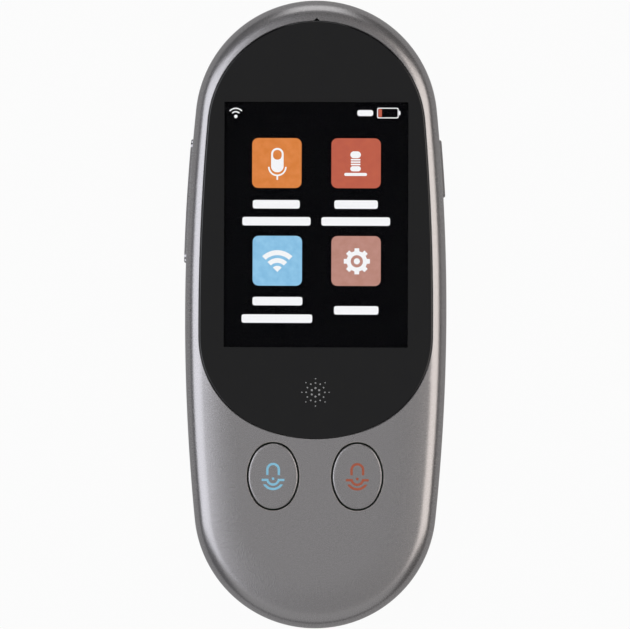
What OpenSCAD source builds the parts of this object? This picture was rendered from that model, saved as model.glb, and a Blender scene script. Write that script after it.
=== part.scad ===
// Handheld translator: a slim bar with a touch display, two talk buttons, a volume rocker and a power key.
// It lies on its back. +Z comes out of the display, +Y points to the top end, and the origin is the
// middle of the back.

/* [Body] */
// Width across the middle
body_w = 52.5; // [51.5:0.5:56]
// Length from end to end
body_l = 126; // [124:1:134]
// Thickness from the back to the front face
body_t = 12.5; // [12.3:0.1:14]
// Angle from the middle of a side to the point where the end arc starts
side_sweep = 5.8; // [5.2:0.1:6.2]
// Radius of the front edge
front_r = 3.6; // [3.3:0.1:3.9]
// Height of the rounded band at the front
front_h = 4; // [3.9:0.05:4.2]
// Slope of the front edge where its arc ends
front_turn = 16; // [14:1:18]
// Width of the sloping band round the front face
crown_w = 10; // [9:0.5:11]
// Radius of the rear edge
rear_r = 5; // [4.7:0.1:5.2]
// Wall of both shells
wall = 1.3; // [1.2:0.05:1.45]
// Height of the parting line above the back
seam_z = 3.9; // [3.6:0.1:4]
// Height of the lip on the rear cover
lip_h = 0.7; // [0.5:0.1:0.8]
// Width of the lip on the rear cover
lip_w = 0.6; // [0.5:0.05:0.7]

/* [Cover glass] */
// Thickness of the cover glass
glass_t = 0.9; // [0.7:0.05:1]
// How far the glass lies below the top of the front face
glass_drop = 0.2; // [0.1:0.05:0.35]
// Rim between the glass and the side of the body
rim_side = 2.95; // [2.7:0.05:3.2]
// Rim between the glass and the top end
rim_top = 4.45; // [4.2:0.05:4.8]
// How much smaller the top arc of the glass is than the end arc of the body
rim_shoulder = 2.6; // [2.4:0.05:2.9]
// Length of the glass
glass_l = 83.4; // [83:0.2:86]
// Height of the widest level of the glass above its lower edge
glass_wide = 23.8; // [22:0.2:26]
// Radius of the lower corners of the glass
glass_corner_r = 19.5; // [18.5:0.1:20.5]
// How much flatter the lower edge is than its corners
glass_bow = 0.8; // [0.7:0.05:1]
// Gap round the glass
glass_gap = 0.1; // [0.05:0.01:0.15]
// Width of the ground edge of the glass
glass_edge = 0.25; // [0.1:0.05:0.4]
// Thickness of the tape under the glass and of the optical bond
tape_t = 0.15; // [0.1:0.01:0.18]
// Thickness of the ledge that carries the glass
ledge_t = 1.05; // [0.9:0.05:1.15]

/* [Sound holes] */
// Height of the sound holes above the lower edge of the glass
grille_rise = 9.3; // [9:0.1:9.5]
// Diameter of the inner sound holes
grille_d = 0.45; // [0.3:0.05:0.6]
// Radius of the inner ring of sound holes
grille_r = 0.85; // [0.75:0.05:0.95]
// Holes in the inner ring
grille_count = 6; // [5:1:7]
// Diameter of the opening behind the sound holes
port_d = 6.4; // [6.2:0.1:6.6]

/* [Display] */
// Width of the lit area
active_w = 36.72; // [36:0.12:37.2]
// Length of the lit area
active_l = 48.96; // [48:0.12:49.2]
// Distance from the top edge of the glass to the lit area
active_drop = 16.15; // [15.8:0.05:16.4]
// Border of the display cell beside the lit area
cell_side = 1.1; // [0.9:0.05:1.2]
// Border of the display cell above the lit area
cell_top = 1; // [0.8:0.1:1.2]
// Border of the display cell below the lit area
cell_foot = 5; // [4.6:0.1:5.2]
// Thickness of the display cell
cell_t = 1; // [0.85:0.05:1.05]
// Thickness of the backlight
light_t = 0.9; // [0.75:0.05:0.95]
// Width of the display flex
flex_w = 16; // [10:1:18]
// Thickness of the display flex
flex_t = 0.15; // [0.1:0.01:0.2]
// Thickness of the support plate behind the display
plate_t = 0.3; // [0.25:0.05:0.35]

/* [Talk buttons] */
// Width of a talk button
button_w = 9.8; // [8.8:0.1:11]
// Length of a talk button
button_l = 13; // [11.5:0.1:14]
// Distance from the middle line to a talk button
button_x = 8.4; // [8:0.1:9]
// Distance from the lower edge of the glass to the middle of the buttons
button_drop = 7.45; // [7.2:0.05:8.1]
// Gap round a talk button
button_gap = 0.35; // [0.25:0.05:0.45]
// How far a talk button stands out
button_out = 0.25; // [0.1:0.05:0.4]
// Travel of a talk button
button_travel = 0.3; // [0.2:0.05:0.35]
// Height of the microphone sign
icon_h = 5.4; // [4.4:0.1:6.4]
// Line width of the microphone sign
icon_line = 0.46; // [0.35:0.01:0.55]
// Depth of the microphone sign
icon_t = 0.25; // [0.15:0.05:0.4]

/* [Side keys] */
// Distance from the top end of the body to the upper end of the keys
key_drop = 27.9; // [27:0.1:30]
// Length of the volume key
volume_l = 24.8; // [22:0.2:26]
// Length of the power key
power_l = 11.5; // [9:0.5:13]
// Height of both keys
key_h = 2.4; // [2:0.1:2.5]
// How far the keys stand out of the side
key_out = 0.4; // [0.3:0.05:0.6]
// Travel of the power key
key_travel = 0.3; // [0.2:0.05:0.35]
// Gap round a key
key_gap = 0.15; // [0.12:0.01:0.2]

/* [Electronics] */
// Thickness of the main board
board_t = 1; // [0.8:0.1:1.1]
// Gap between the main board and the shells
board_gap = 1.3; // [1.25:0.05:1.6]
// Height of the shield can
can_h = 1.45; // [1.2:0.05:1.5]
// Width of the battery
battery_w = 36; // [30:1:38]
// Length of the battery
battery_l = 58; // [50:1:60]
// Thickness of the battery
battery_t = 4; // [3.4:0.1:4.3]
// Thickness of the speaker
speaker_t = 2.4; // [2:0.1:2.5]
// Width of the charge socket
socket_w = 8.94; // [8.8:0.02:9.2]
// Height of the charge socket
socket_h = 3.26; // [3.1:0.02:3.3]
// Length of the charge socket
socket_l = 7.3; // [6.8:0.1:8]
// Diameter of the housing screws
screw_d = 1.6; // [1.4:0.1:2]
// Distance from the end arc to the housing screws
screw_inset = 7.7; // [7.2:0.1:8.2]

/* [Hidden] */
$fn = 72;

// Circles wider than this are drawn with more steps
wide_r = 40;
wide_fn = 256;
// Length by which a cut runs past the surface it opens
over = 1;
// Small seat between pieces that touch
seat = 0.05;
// Step too small to see that keeps two nearly equal surfaces apart
hair = 0.02;

// Outline of the body: two end arcs and two long side arcs that meet without a corner
half_w = body_w / 2;
half_l = body_l / 2;
end_y = (half_l - half_w) / (1 - tan(side_sweep / 2));
end_r = half_l - end_y;
side_r = half_w + end_y / tan(side_sweep);
side_x = side_r - half_w;
// Level at which the end arc takes over from the side arcs, rounded so that both cuts lie in one plane
end_cut = round(100 * (end_y + end_r * sin(side_sweep))) / 100;

// Middle of the straight side between the rear arc and the front arc
mid_z = (rear_r + body_t - front_h) / 2;

// Levels from the glass down
glass_z = body_t - glass_drop - glass_t;
ledge_z = glass_z - tape_t;
ledge_low = ledge_z - ledge_t;
cell_z = glass_z - tape_t - cell_t;
light_z = cell_z - light_t;
plate_z = light_z - seat - plate_t;

// Levels of the main board
board_z = mid_z - board_t / 2;
board_top = mid_z + board_t / 2;
board_inset = wall + board_gap;

// Outline of the glass
glass_hw = half_w - rim_side;
glass_top = half_l - rim_top;
glass_low = glass_top - glass_l;
glass_top_r = end_r - rim_shoulder;
glass_top_y = glass_top - glass_top_r;
glass_wide_y = glass_low + glass_wide;
glass_rise = glass_top_y - glass_wide_y;
glass_side_r = (glass_hw^2 + glass_rise^2 - glass_top_r^2) / (2 * (glass_hw - glass_top_r));
glass_corner_h = glass_corner_r + glass_bow;
glass_corner_x = glass_hw - glass_side_r
    + sqrt((glass_side_r - glass_corner_r)^2 - (glass_corner_h - glass_wide)^2);
glass_low_r = (glass_corner_x^2 + glass_corner_h^2 - glass_corner_r^2) / (2 * glass_bow);

// Depth inside the outline at which the thicker front behind the glass starts
shelf_in = front_r - (front_r - wall) * sin(front_turn) + 0.35;

// Display cell and its window in the front housing
window_gap = 0.3;
cell_w = active_w + 2 * cell_side;
cell_l = active_l + cell_top + cell_foot;
cell_y1 = glass_top - active_drop + cell_top;
cell_y0 = cell_y1 - cell_l;
// The backlight leaves the foot of the cell free for the flex
light_y0 = cell_y0 + 1.2;
grille_y = glass_low + grille_rise;

// Places of the talk buttons and keys
talk_y = glass_low - button_drop;
key_y1 = half_l - key_drop;
volume_y = key_y1 - volume_l / 2;
power_y = key_y1 - power_l / 2;
// Slack, thickness and overhang of the flange that holds a key in its slot
key_slack = 0.4;
flange_t = 0.5;
flange_out = 0.5;
key_in = wall + key_slack + flange_t;

// Body and working parts of a side switch, sunk into a notch of the board
switch_gap = 0.22;
switch_nose = 0.33;
switch_w = 3.5;
switch_d = 2.2;
switch_h = 1.6;
switch_face = key_in + switch_gap + switch_nose;
nose_w = 1.6;
nose_h = 0.8;
// The volume switches lie this share of the key's half length from its middle
volume_arm = 0.65 * volume_l / 2;

// Parts of a talk button's switch
tact_w = 5.2;
tact_h = 1;
tact_d = 2.6;
tact_rise = button_travel + seat;
pusher_d = 3;

// Screws
screw_gap = 0.15;
head_d = screw_d + 1.4;
head_h = 1;
head_sink = 0.3;
boss_d = screw_d + 2.8;
screw_ring = end_r - screw_inset;
screw_turn = 30;
screw_top = ledge_low - 0.9;

// Support plate screws
plate_screw_d = 1.2;
plate_boss_d = 3;
plate_screw_x = cell_w / 2 + window_gap + plate_boss_d / 2 + 0.1;
plate_screw_top = ledge_z - 0.4;
plate_screw_y = [key_y1 - volume_l - 7.5, key_y1 + 2.6];

// Charge socket
socket_wall = 0.3;
socket_y = -half_l + 0.8;
tongue_w = 6.7;
tongue_t = 0.7;
tongue_gap = 1.3;
insulator_l = 1.5;

// Microphones
mic_w = 3.5;
mic_l = 2.65;
mic_h = 1;
mic_wall = 0.6;
mic_hole = 0.9;
lower_mic_x = 9;
upper_mic_y = glass_top + 0.35;

// Battery
battery_z = wall + tape_t;
battery_y = 5;
lead_d = 0.9;
lead_x = 1.2;
lead_l = 4;
header_l = 4;
header_w = 6;

// Speaker
speaker_w = 15;
speaker_l = 9;
gasket_t = 0.3;
speaker_z = ledge_low - gasket_t - speaker_t;
speaker_y = grille_y - 1;

// ---- outlines made of arcs; an arc is [x, y, radius] ----

function unit(v) = v / norm(v);

// Point where two arcs touch: on the line through their centres, beyond the smaller arc's centre
function meet(a, b) =
    let (small = a[2] < b[2] ? a : b, big = a[2] < b[2] ? b : a)
    [small[0], small[1]] + small[2] * unit([small[0] - big[0], small[1] - big[1]]);

function shrink(arcs, i) = [for (a = arcs) [a[0], a[1], a[2] - i]];

// Four arcs of an oval, from its half width, half length and end radius
function oval_arcs(hw, hl, r) =
    let (e = hl - r, big = (hw^2 + e^2 - r^2) / (2 * (hw - r)))
    [[0, e, r], [big - hw, 0, big], [0, -e, r], [hw - big, 0, big]];

body_arcs = [
    [0, end_y, end_r],
    [side_x, 0, side_r],
    [0, -end_y, end_r],
    [-side_x, 0, side_r]
];

glass_arcs = [
    [0, glass_top_y, glass_top_r],
    [glass_side_r - glass_hw, glass_wide_y, glass_side_r],
    [-glass_corner_x, glass_low + glass_corner_h, glass_corner_r],
    [0, glass_low + glass_low_r, glass_low_r],
    [glass_corner_x, glass_low + glass_corner_h, glass_corner_r],
    [glass_hw - glass_side_r, glass_wide_y, glass_side_r]
];

// The part of an arc's circle that lies beyond the chord from p to q, a hair inside both points
module bulge(arc, p, q) {
    out = norm(q - p) * unit([q[1] - p[1], p[0] - q[0]]);
    intersection() {
        translate([arc[0], arc[1]])
            circle(r = arc[2] - hair / 2);
        polygon([p, q, q + out, p + out]);
    }
}

// A closed outline of touching arcs: a core and a slice for each arc; every second arc lies a hair inside
module arc_outline(arcs) {
    n = len(arcs);
    joints = [for (k = [0:n - 1]) meet(arcs[k], arcs[(k + 1) % n])];
    middle = [0, (joints[0][1] + joints[n / 2][1]) / 2];
    polygon([for (j = joints) middle + 0.98 * (j - middle)]);
    for (k = [0:n - 1])
        intersection() {
            translate([arcs[k][0], arcs[k][1]])
                circle(r = arcs[k][2] - (k % 2) * hair, $fn = arcs[k][2] > wide_r ? wide_fn : $fn);
            polygon([
                middle,
                middle + 3 * (joints[(k + n - 1) % n] - middle),
                middle + 3 * (joints[k] - middle)
            ]);
        }
}

module body_outline(i) {
    arc_outline(shrink(body_arcs, i));
}

module glass_outline(i) {
    arc_outline(shrink(glass_arcs, i));
}

module button_outline(grow) {
    hw = button_w / 2 + grow;
    hl = button_l / 2 + grow;
    arc_outline(oval_arcs(hw, hl, 0.86 * hw));
}

module rounded_rect(w, l, r) {
    square([w - 2 * r, l], center = true);
    square([w, l - 2 * r], center = true);
    for (x = [-1, 1], y = [-1, 1])
        translate([x * (w / 2 - r), y * (l / 2 - r)])
            circle(r = r);
}

// A flat piece of a given outline between two levels
module layer(z0, z1) {
    translate([0, 0, z0])
        linear_extrude(z1 - z0)
            children();
}

module block(w, l, z0, z1, r) {
    layer(z0, z1)
        rounded_rect(w, l, r);
}

module rod(d, z0, z1) {
    translate([0, 0, z0])
        cylinder(d = d, h = z1 - z0);
}

// ---- the rounded body ----

// Section of the edge, i inside the surface and as deep as asked for; the side lies at x = -i
module edge_section(i, depth) {
    front = [-front_r, body_t - front_h, front_r - i];
    rear = [-rear_r, rear_r, rear_r - i];
    turn = [front[0], front[1]] + front[2] * [sin(front_turn), cos(front_turn)];
    low = [-rear_r, i];
    low_side = [-i, rear_r];
    high_side = [-i, body_t - front_h];
    high = [-crown_w, body_t - i];
    polygon([[-depth, i], low, low_side, high_side, turn, high, [-depth, body_t - i]]);
    bulge(rear, low, low_side);
    bulge(front, high_side, turn);
}

// The body as a solid, i inside its surface: two side pieces, and two end pieces a hair inside them.
// The section of an end piece runs past its axis and is cut there, so it meets the axis at every size
module pebble(i) {
    for (s = [0, 1]) {
        mirror([0, s, 0])
            intersection() {
                translate([0, end_y, 0])
                    rotate_extrude()
                        intersection() {
                            translate([end_r, 0])
                                edge_section(i + hair, end_r + over);
                            square([2 * end_r, body_t]);
                        }
                translate([-body_w, end_cut, -over])
                    cube([2 * body_w, body_l, body_t + 2 * over]);
            }
        mirror([s, 0, 0])
            intersection() {
                translate([-side_x, 0, 0])
                    rotate_extrude(start = -side_sweep - over, angle = 2 * (side_sweep + over), $fn = wide_fn)
                        translate([side_r, 0])
                            edge_section(i, half_w + rear_r);
                translate([0, -end_cut, -over])
                    cube([body_w, 2 * end_cut, body_t + 2 * over]);
            }
    }
}

module above(z) {
    translate([-body_w, -body_l, z])
        cube([2 * body_w, 2 * body_l, 2 * body_t]);
}

module below(z) {
    translate([-body_w, -body_l, z - 2 * body_t])
        cube([2 * body_w, 2 * body_l, 2 * body_t]);
}

// Places the children at the four housing screws
module at_screws() {
    for (x = [0, 1], y = [0, 1])
        mirror([x, 0, 0])
            mirror([0, y, 0])
                translate([screw_ring * cos(screw_turn), end_y + screw_ring * sin(screw_turn), 0])
                    children();
}

module at_plate_screws() {
    for (x = [-1, 1], y = plate_screw_y)
        translate([x * plate_screw_x, y, 0])
            children();
}

// Local frame on the right side at height y: x points out of the side, the origin lies on the surface
module at_side(y) {
    translate([-side_x, 0, 0])
        rotate([0, 0, asin(y / side_r)])
            translate([side_r, 0, mid_z])
                children();
}

// A bar that follows the right side from y0 to y1, between two depths inside the surface
module side_bar(y0, y1, depth0, depth1, h) {
    a0 = asin(y0 / side_r);
    a1 = asin(y1 / side_r);
    translate([-side_x, 0, mid_z])
        rotate_extrude(start = a0, angle = a1 - a0, $fn = wide_fn)
            translate([side_r - depth0, -h / 2])
                square([depth0 - depth1, h]);
}

module key_slot(l) {
    side_bar(key_y1 - l - key_gap, key_y1 + key_gap, wall + over, -over, key_h + 2 * key_gap);
}

module socket_outline(grow) {
    w = socket_w + 2 * grow;
    h = socket_h + 2 * grow;
    square([w - h, h], center = true);
    for (x = [-1, 1])
        translate([x * (w - h) / 2, 0])
            circle(d = h);
}

// Places a drawing in x and z, and runs it along +Y from y0 to y1
module along_y(y0, y1) {
    translate([0, y1, mid_z])
        rotate([90, 0, 0])
            linear_extrude(y1 - y0)
                children();
}

module at_lower_mic() {
    translate([lower_mic_x, -sqrt((end_r - board_inset)^2 - (lower_mic_x + mic_w / 2)^2) - end_y + mic_l / 2, 0])
        children();
}

module at_upper_mic() {
    translate([0, upper_mic_y, 0])
        children();
}

// ---- shells ----

module front_housing() {
    color([0.46, 0.455, 0.46])
    difference() {
        pebble(0);
        below(seam_z);
        difference() {
            pebble(wall);
            front_shelf();
            at_screws()
                rod(boss_d, board_top, body_t);
            at_plate_screws()
                rod(plate_boss_d, plate_z + plate_t, body_t);
        }
        layer(0, seam_z + lip_h + seat)
            body_outline(wall - lip_w - seat);
        glass_seat();
        display_window();
        sound_port();
        for (x = [-button_x, button_x])
            translate([x, talk_y, 0])
                layer(ledge_low - over, body_t + over)
                    button_outline(button_gap);
        mirror([1, 0, 0])
            key_slot(volume_l);
        key_slot(power_l);
        along_y(-half_l - over, socket_y + 2 * over)
            socket_outline(screw_gap);
        at_lower_mic()
            translate([0, 0, board_top + mic_h / 2])
                rotate([90, 0, 0])
                    cylinder(d = mic_hole, h = end_r);
        at_screws()
            rod(screw_d + seat, 0, screw_top + seat);
        at_plate_screws()
            rod(plate_screw_d + seat, 0, plate_screw_top + seat);
        microphone_notch();
    }
}

// Thicker front behind the glass, with the ledge that the glass rests on
module front_shelf() {
    layer(ledge_low, body_t)
        intersection() {
            body_outline(shelf_in);
            translate([-half_w, glass_low - wall])
                square([body_w, body_l]);
        }
}

module glass_seat() {
    layer(ledge_z, body_t + over)
        glass_outline(-glass_gap);
}

module display_window() {
    translate([0, (cell_y0 + cell_y1) / 2, 0])
        block(cell_w + 2 * window_gap, cell_l + 2 * window_gap, 0, ledge_z + over / 2, window_gap);
}

module sound_port() {
    translate([0, grille_y, 0])
        rod(port_d, 0, ledge_z + over / 2);
}

// Three-sided notch beside the top edge of the glass, with a bore down to the upper microphone
module microphone_notch() {
    notch_w = 0.8;
    notch_l = 0.7;
    layer(ledge_z, body_t + over)
        translate([0, glass_top - seat])
            polygon([[-notch_w, 0], [notch_w, 0], [0, notch_l]]);
    at_upper_mic()
        rod(mic_hole, 0, ledge_z + over / 2);
}

module rear_cover() {
    color([0.44, 0.435, 0.44])
    difference() {
        union() {
            difference() {
                pebble(0);
                above(seam_z);
                pebble(wall);
            }
            layer(seam_z - lip_h, seam_z + lip_h)
                difference() {
                    body_outline(wall - lip_w);
                    body_outline(wall);
                }
            at_screws()
                rod(boss_d, wall / 2, board_z);
            battery_ribs();
        }
        at_screws() {
            rod(screw_d + 2 * screw_gap, -over, body_t);
            rod(head_d + 2 * screw_gap, -over, head_sink + head_h);
        }
    }
}

// Four corner ribs that keep the battery in place
module battery_ribs() {
    rib_t = 0.9;
    rib_l = 5;
    rib_z = wall + tape_t + battery_t / 3;
    gap = 0.2;
    for (x = [-1, 1], y = [-1, 1])
        translate([x * (battery_w / 2 + gap), battery_y + y * (battery_l / 2 + gap), wall / 2])
            linear_extrude(rib_z)
                polygon([
                    [0, 0],
                    [0, -y * rib_l],
                    [x * rib_t, -y * rib_l],
                    [x * rib_t, y * rib_t],
                    [-x * rib_l, y * rib_t],
                    [-x * rib_l, 0]
                ]);
}

module cross_slot(d, z) {
    slot_w = 0.22 * d;
    for (a = [0, 90])
        rotate([0, 0, a])
            translate([-0.35 * d, -slot_w / 2, z])
                cube([0.7 * d, slot_w, over]);
}

module housing_screws() {
    color([0.72, 0.72, 0.74])
    at_screws()
        difference() {
            union() {
                rod(head_d, head_sink, head_sink + head_h);
                rod(screw_d, head_sink, screw_top);
            }
            cross_slot(head_d, head_sink - over / 2);
        }
}

// ---- glass and display ----

module cover_glass() {
    color([0.13, 0.13, 0.135])
    difference() {
        union() {
            layer(glass_z, glass_z + glass_t - glass_edge)
                glass_outline(0);
            layer(glass_z, glass_z + glass_t)
                glass_outline(glass_edge);
        }
        translate([0, grille_y, 0])
            sound_holes();
    }
}

// Three rings of sound holes, each ring smaller in diameter and larger in radius than the last
module sound_holes() {
    hole_ring(grille_count, grille_r, grille_d, 180 / grille_count);
    hole_ring(2 * grille_count, 2.2 * grille_r, 0.8 * grille_d, 0);
    hole_ring(8, 3.2 * grille_r, 0.65 * grille_d, 0);
}

module hole_ring(count, r, d, start) {
    for (k = [0:count - 1])
        rotate([0, 0, start + k * 360 / count])
            translate([r, 0, 0])
                rod(d, glass_z - over, body_t + over);
}

module glass_tape() {
    color([0.2, 0.2, 0.2])
    layer(ledge_z, glass_z)
        difference() {
            glass_outline(0.2);
            translate([0, (cell_y0 + cell_y1) / 2])
                rounded_rect(cell_w + 2 * window_gap, cell_l + 2 * window_gap, window_gap);
            translate([0, grille_y])
                circle(d = port_d + 1.4);
        }
}

module display_bond() {
    color([0.8, 0.85, 0.9])
    translate([0, (cell_y0 + cell_y1) / 2, 0])
        block(cell_w, cell_l, cell_z + cell_t, glass_z, window_gap);
}

module display_panel() {
    color([0.03, 0.03, 0.04])
    translate([0, (cell_y0 + cell_y1) / 2, 0])
        block(cell_w, cell_l, cell_z, cell_z + cell_t, window_gap);
}

module backlight() {
    color([0.9, 0.9, 0.88])
    translate([0, (light_y0 + cell_y1) / 2, 0])
        block(cell_w, cell_y1 - light_y0, light_z, cell_z, window_gap);
}

// Flex from the foot of the cell down behind the backlight to its connector on the board
module display_flex() {
    connector_z = board_top + connector_h();
    y0 = cell_y0 + 0.6;
    color([0.75, 0.5, 0.2])
    translate([0, y0, 0]) {
        translate([-flex_w / 2, -0.4, cell_z - flex_t])
            cube([flex_w, 0.4 + flex_t, flex_t]);
        translate([-flex_w / 2, 0, connector_z])
            cube([flex_w, flex_t, cell_z - connector_z]);
        translate([-flex_w / 2, 0, connector_z])
            cube([flex_w, connector_y() + 2 - y0, flex_t]);
    }
}

function connector_h() = 0.9;
function connector_y() = cell_y0 + 5.5;

module display_connector() {
    color([0.85, 0.8, 0.7])
    translate([0, connector_y(), 0])
        block(flex_w + 1, 4, board_top, board_top + connector_h(), 0.3);
}

// Pressed plate that backs the display and keeps the board away from it
module display_support() {
    color([0.7, 0.71, 0.73])
    difference() {
        layer(plate_z, plate_z + plate_t)
            intersection() {
                body_outline(wall + 1);
                translate([-half_w, light_y0 + 0.2])
                    square([body_w, cell_y1 - light_y0]);
            }
        at_plate_screws()
            rod(plate_screw_d + 2 * screw_gap, 0, body_t);
    }
}

module support_screws() {
    plate_head_h = 0.5;
    color([0.72, 0.72, 0.74])
    at_plate_screws()
        difference() {
            union() {
                rod(2 * plate_screw_d, plate_z - plate_head_h, plate_z);
                rod(plate_screw_d, plate_z - plate_head_h, plate_screw_top);
            }
            cross_slot(2 * plate_screw_d, plate_z - plate_head_h - 0.75 * over);
        }
}

// ---- talk buttons; side is -1 on the left and 1 on the right ----

module at_button(side) {
    translate([side * button_x, talk_y, 0])
        children();
}

cap_flange = 0.6;
cap_flange_t = 0.8;
cap_z = body_t - wall - seat - cap_flange_t;
cap_top = body_t + button_out;
cap_edge = 0.15;
// The flange ends a little below the thicker front, measured from the middle of the button
flange_end = button_drop - wall - 0.15;

module button_cap(side) {
    color([0.46, 0.455, 0.46])
    at_button(side)
        difference() {
            union() {
                layer(cap_z, cap_z + cap_flange_t)
                    intersection() {
                        button_outline(cap_flange + button_gap);
                        translate([-button_w, flange_end - 2 * button_l])
                            square([2 * button_w, 2 * button_l]);
                    }
                layer(cap_z, cap_top - cap_edge)
                    button_outline(0);
                layer(cap_z, cap_top)
                    button_outline(-cap_edge);
            }
            layer(cap_top - icon_t, cap_top + over)
                microphone_sign();
        }
}

module button_icon(side) {
    color(side < 0 ? [0.49, 0.75, 0.84] : [0.63, 0.29, 0.2])
    at_button(side)
        layer(cap_top - icon_t, cap_top)
            microphone_sign();
}

module stroke_ring(r) {
    difference() {
        circle(r = r);
        circle(r = r - icon_line);
    }
}

// Generic microphone: upper half of the capsule, lower half with two wings, holder arc and a dot
module microphone_sign() {
    r = 0.255 * icon_h;
    top = icon_h / 2 - r;
    split = 0.05 * icon_h;
    waist = -0.09 * icon_h;
    wing = 0.42 * icon_h;
    intersection() {
        translate([0, top])
            stroke_ring(r);
        translate([-icon_h, top])
            square([2 * icon_h, icon_h]);
    }
    for (x = [-r, r - icon_line])
        translate([x, split])
            square([icon_line, top - split]);
    intersection() {
        translate([0, waist])
            stroke_ring(r);
        translate([-icon_h, waist - icon_h])
            square([2 * icon_h, icon_h]);
    }
    for (x = [-wing, r - icon_line])
        translate([x, waist - icon_line])
            square([wing - r + icon_line, icon_line]);
    intersection() {
        translate([0, waist])
            stroke_ring(wing);
        translate([-icon_h, waist - icon_h - 0.5 * r])
            square([2 * icon_h, icon_h - 0.3 * r]);
    }
    translate([0, waist])
        circle(r = 0.6 * icon_line);
}

module button_pusher(side) {
    color([0.85, 0.85, 0.83])
    at_button(side)
        rod(pusher_d, board_top + tact_h + tact_rise, cap_z);
}

module switch_plunger(side) {
    color([0.15, 0.15, 0.15])
    at_button(side)
        rod(tact_d, board_top + tact_h - tact_rise, board_top + tact_h + tact_rise);
}

module tact_switch(side) {
    color([0.6, 0.6, 0.62])
    at_button(side)
        difference() {
            block(tact_w, tact_w, board_top, board_top + tact_h, 0.4);
            rod(tact_d + 2 * seat, board_top + tact_h - 2 * tact_rise - seat, board_top + tact_h + over);
        }
}

// ---- side keys ----

// A key that follows the side of the body, with a softened outer edge and a flange inside the wall
module key_body(l) {
    soft = key_out / 2;
    y0 = key_y1 - l;
    side_bar(y0, key_y1, key_in, -key_out + soft, key_h);
    side_bar(y0 + soft, key_y1 - soft, key_in, -key_out, key_h - 2 * soft);
    side_bar(y0 - flange_out, key_y1 + flange_out, key_in, key_in - flange_t, key_h + 2 * flange_out);
}

module volume_key() {
    color([0.46, 0.455, 0.46])
    mirror([1, 0, 0]) {
        key_body(volume_l);
        // Rounded nub on which the key rocks against the edge of the board
        at_side(volume_y)
            translate([-key_in, 0, 0])
                cylinder(r = board_inset - key_in - seat, h = key_h, center = true);
    }
}

module side_switch_body(y) {
    at_side(y)
        translate([-switch_face - switch_d, -switch_w / 2, -switch_h / 2])
            cube([switch_d, switch_w, switch_h]);
}

module side_switch_nose(y, depth0, depth1) {
    at_side(y)
        translate([-depth0, -nose_w / 2, -nose_h / 2])
            cube([depth0 - depth1, nose_w, nose_h]);
}

module volume_switches() {
    color([0.6, 0.6, 0.62])
    mirror([1, 0, 0])
        for (y = [-volume_arm, volume_arm]) {
            side_switch_body(volume_y + y);
            side_switch_nose(volume_y + y, switch_face, key_in + switch_gap);
        }
}

module power_key() {
    color([0.46, 0.455, 0.46])
    key_body(power_l);
}

module power_switch_plunger() {
    color([0.15, 0.15, 0.15])
    side_switch_nose(power_y, switch_face + key_travel, key_in);
}

module power_switch() {
    color([0.6, 0.6, 0.62])
    difference() {
        side_switch_body(power_y);
        at_side(power_y)
            translate([-switch_face - 2 * key_travel - 2 * seat, -nose_w / 2 - 2 * seat, -nose_h / 2 - 2 * seat])
                cube([switch_d, nose_w + 4 * seat, nose_h + 4 * seat]);
    }
}

// ---- electronics ----

module switch_notch(y) {
    at_side(y)
        translate([-switch_face - switch_d - seat, -switch_w / 2 - seat, -body_t])
            cube([switch_d + over + board_gap, switch_w + 2 * seat, 2 * body_t]);
}

module main_board() {
    notch_w = socket_w + 2 * seat;
    color([0.05, 0.25, 0.12])
    difference() {
        layer(board_z, board_top)
            body_outline(board_inset);
        at_screws()
            rod(screw_d + 2 * screw_gap, 0, body_t);
        mirror([1, 0, 0])
            for (y = [-volume_arm, volume_arm])
                switch_notch(volume_y + y);
        switch_notch(power_y);
        translate([-notch_w / 2, -half_l, 0])
            cube([notch_w, socket_y + socket_l + seat + half_l, body_t]);
    }
}

can_w = 32;
can_l = 28;
can_y = 17;
can_wall = 0.2;

module shield_can() {
    color([0.75, 0.76, 0.78])
    translate([0, can_y, 0])
        difference() {
            block(can_w, can_l, board_top, board_top + can_h, 0.6);
            block(can_w - 2 * can_wall, can_l - 2 * can_wall, board_top - over, board_top + can_h - can_wall, 0.4);
        }
}

module chip(x, y, w, l, h) {
    color([0.1, 0.1, 0.11])
    translate([x, can_y + y, 0])
        block(w, l, board_top, board_top + h, 0.2);
}

module processor_chip() {
    chip(-6, 4, 12, 12, 1);
}

module memory_chip() {
    chip(7.5, 5, 10, 11, 0.9);
}

module power_chip() {
    chip(6, -8, 6, 6, 0.8);
}

module radio_chip() {
    chip(-7, -8, 7, 7, 0.8);
}

module battery() {
    color([0.75, 0.76, 0.78])
    translate([0, battery_y, 0])
        block(battery_w, battery_l, battery_z, battery_z + battery_t, 1.5);
}

module battery_tape() {
    color([0.9, 0.9, 0.85])
    translate([0, battery_y, 0])
        block(battery_w - 6, battery_l - 8, wall, battery_z, 1);
}

module battery_leads() {
    color([0.7, 0.1, 0.1])
    for (x = [-lead_x, lead_x])
        translate([x, battery_y - battery_l / 2, battery_z + battery_t - lead_d])
            rotate([90, 0, 0])
                cylinder(d = lead_d, h = lead_l);
}

module battery_header() {
    color([0.92, 0.9, 0.85])
    translate([0, battery_y - battery_l / 2 - lead_l - header_l / 2, 0])
        block(header_w, header_l, battery_z + battery_t - 2 * lead_d, board_z, 0.3);
}

module speaker() {
    color([0.2, 0.2, 0.21])
    translate([0, speaker_y, 0])
        block(speaker_w, speaker_l, speaker_z, speaker_z + speaker_t, 1);
}

module speaker_gasket() {
    color([0.12, 0.12, 0.12])
    translate([0, grille_y, 0])
        difference() {
            rod(port_d + 1.2, ledge_low - gasket_t, ledge_low);
            rod(port_d, 0, body_t);
        }
}

module speaker_mesh() {
    color([0.72, 0.72, 0.73])
    translate([0, grille_y, 0])
        rod(port_d + 0.8, ledge_z, glass_z - seat);
}

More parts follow.
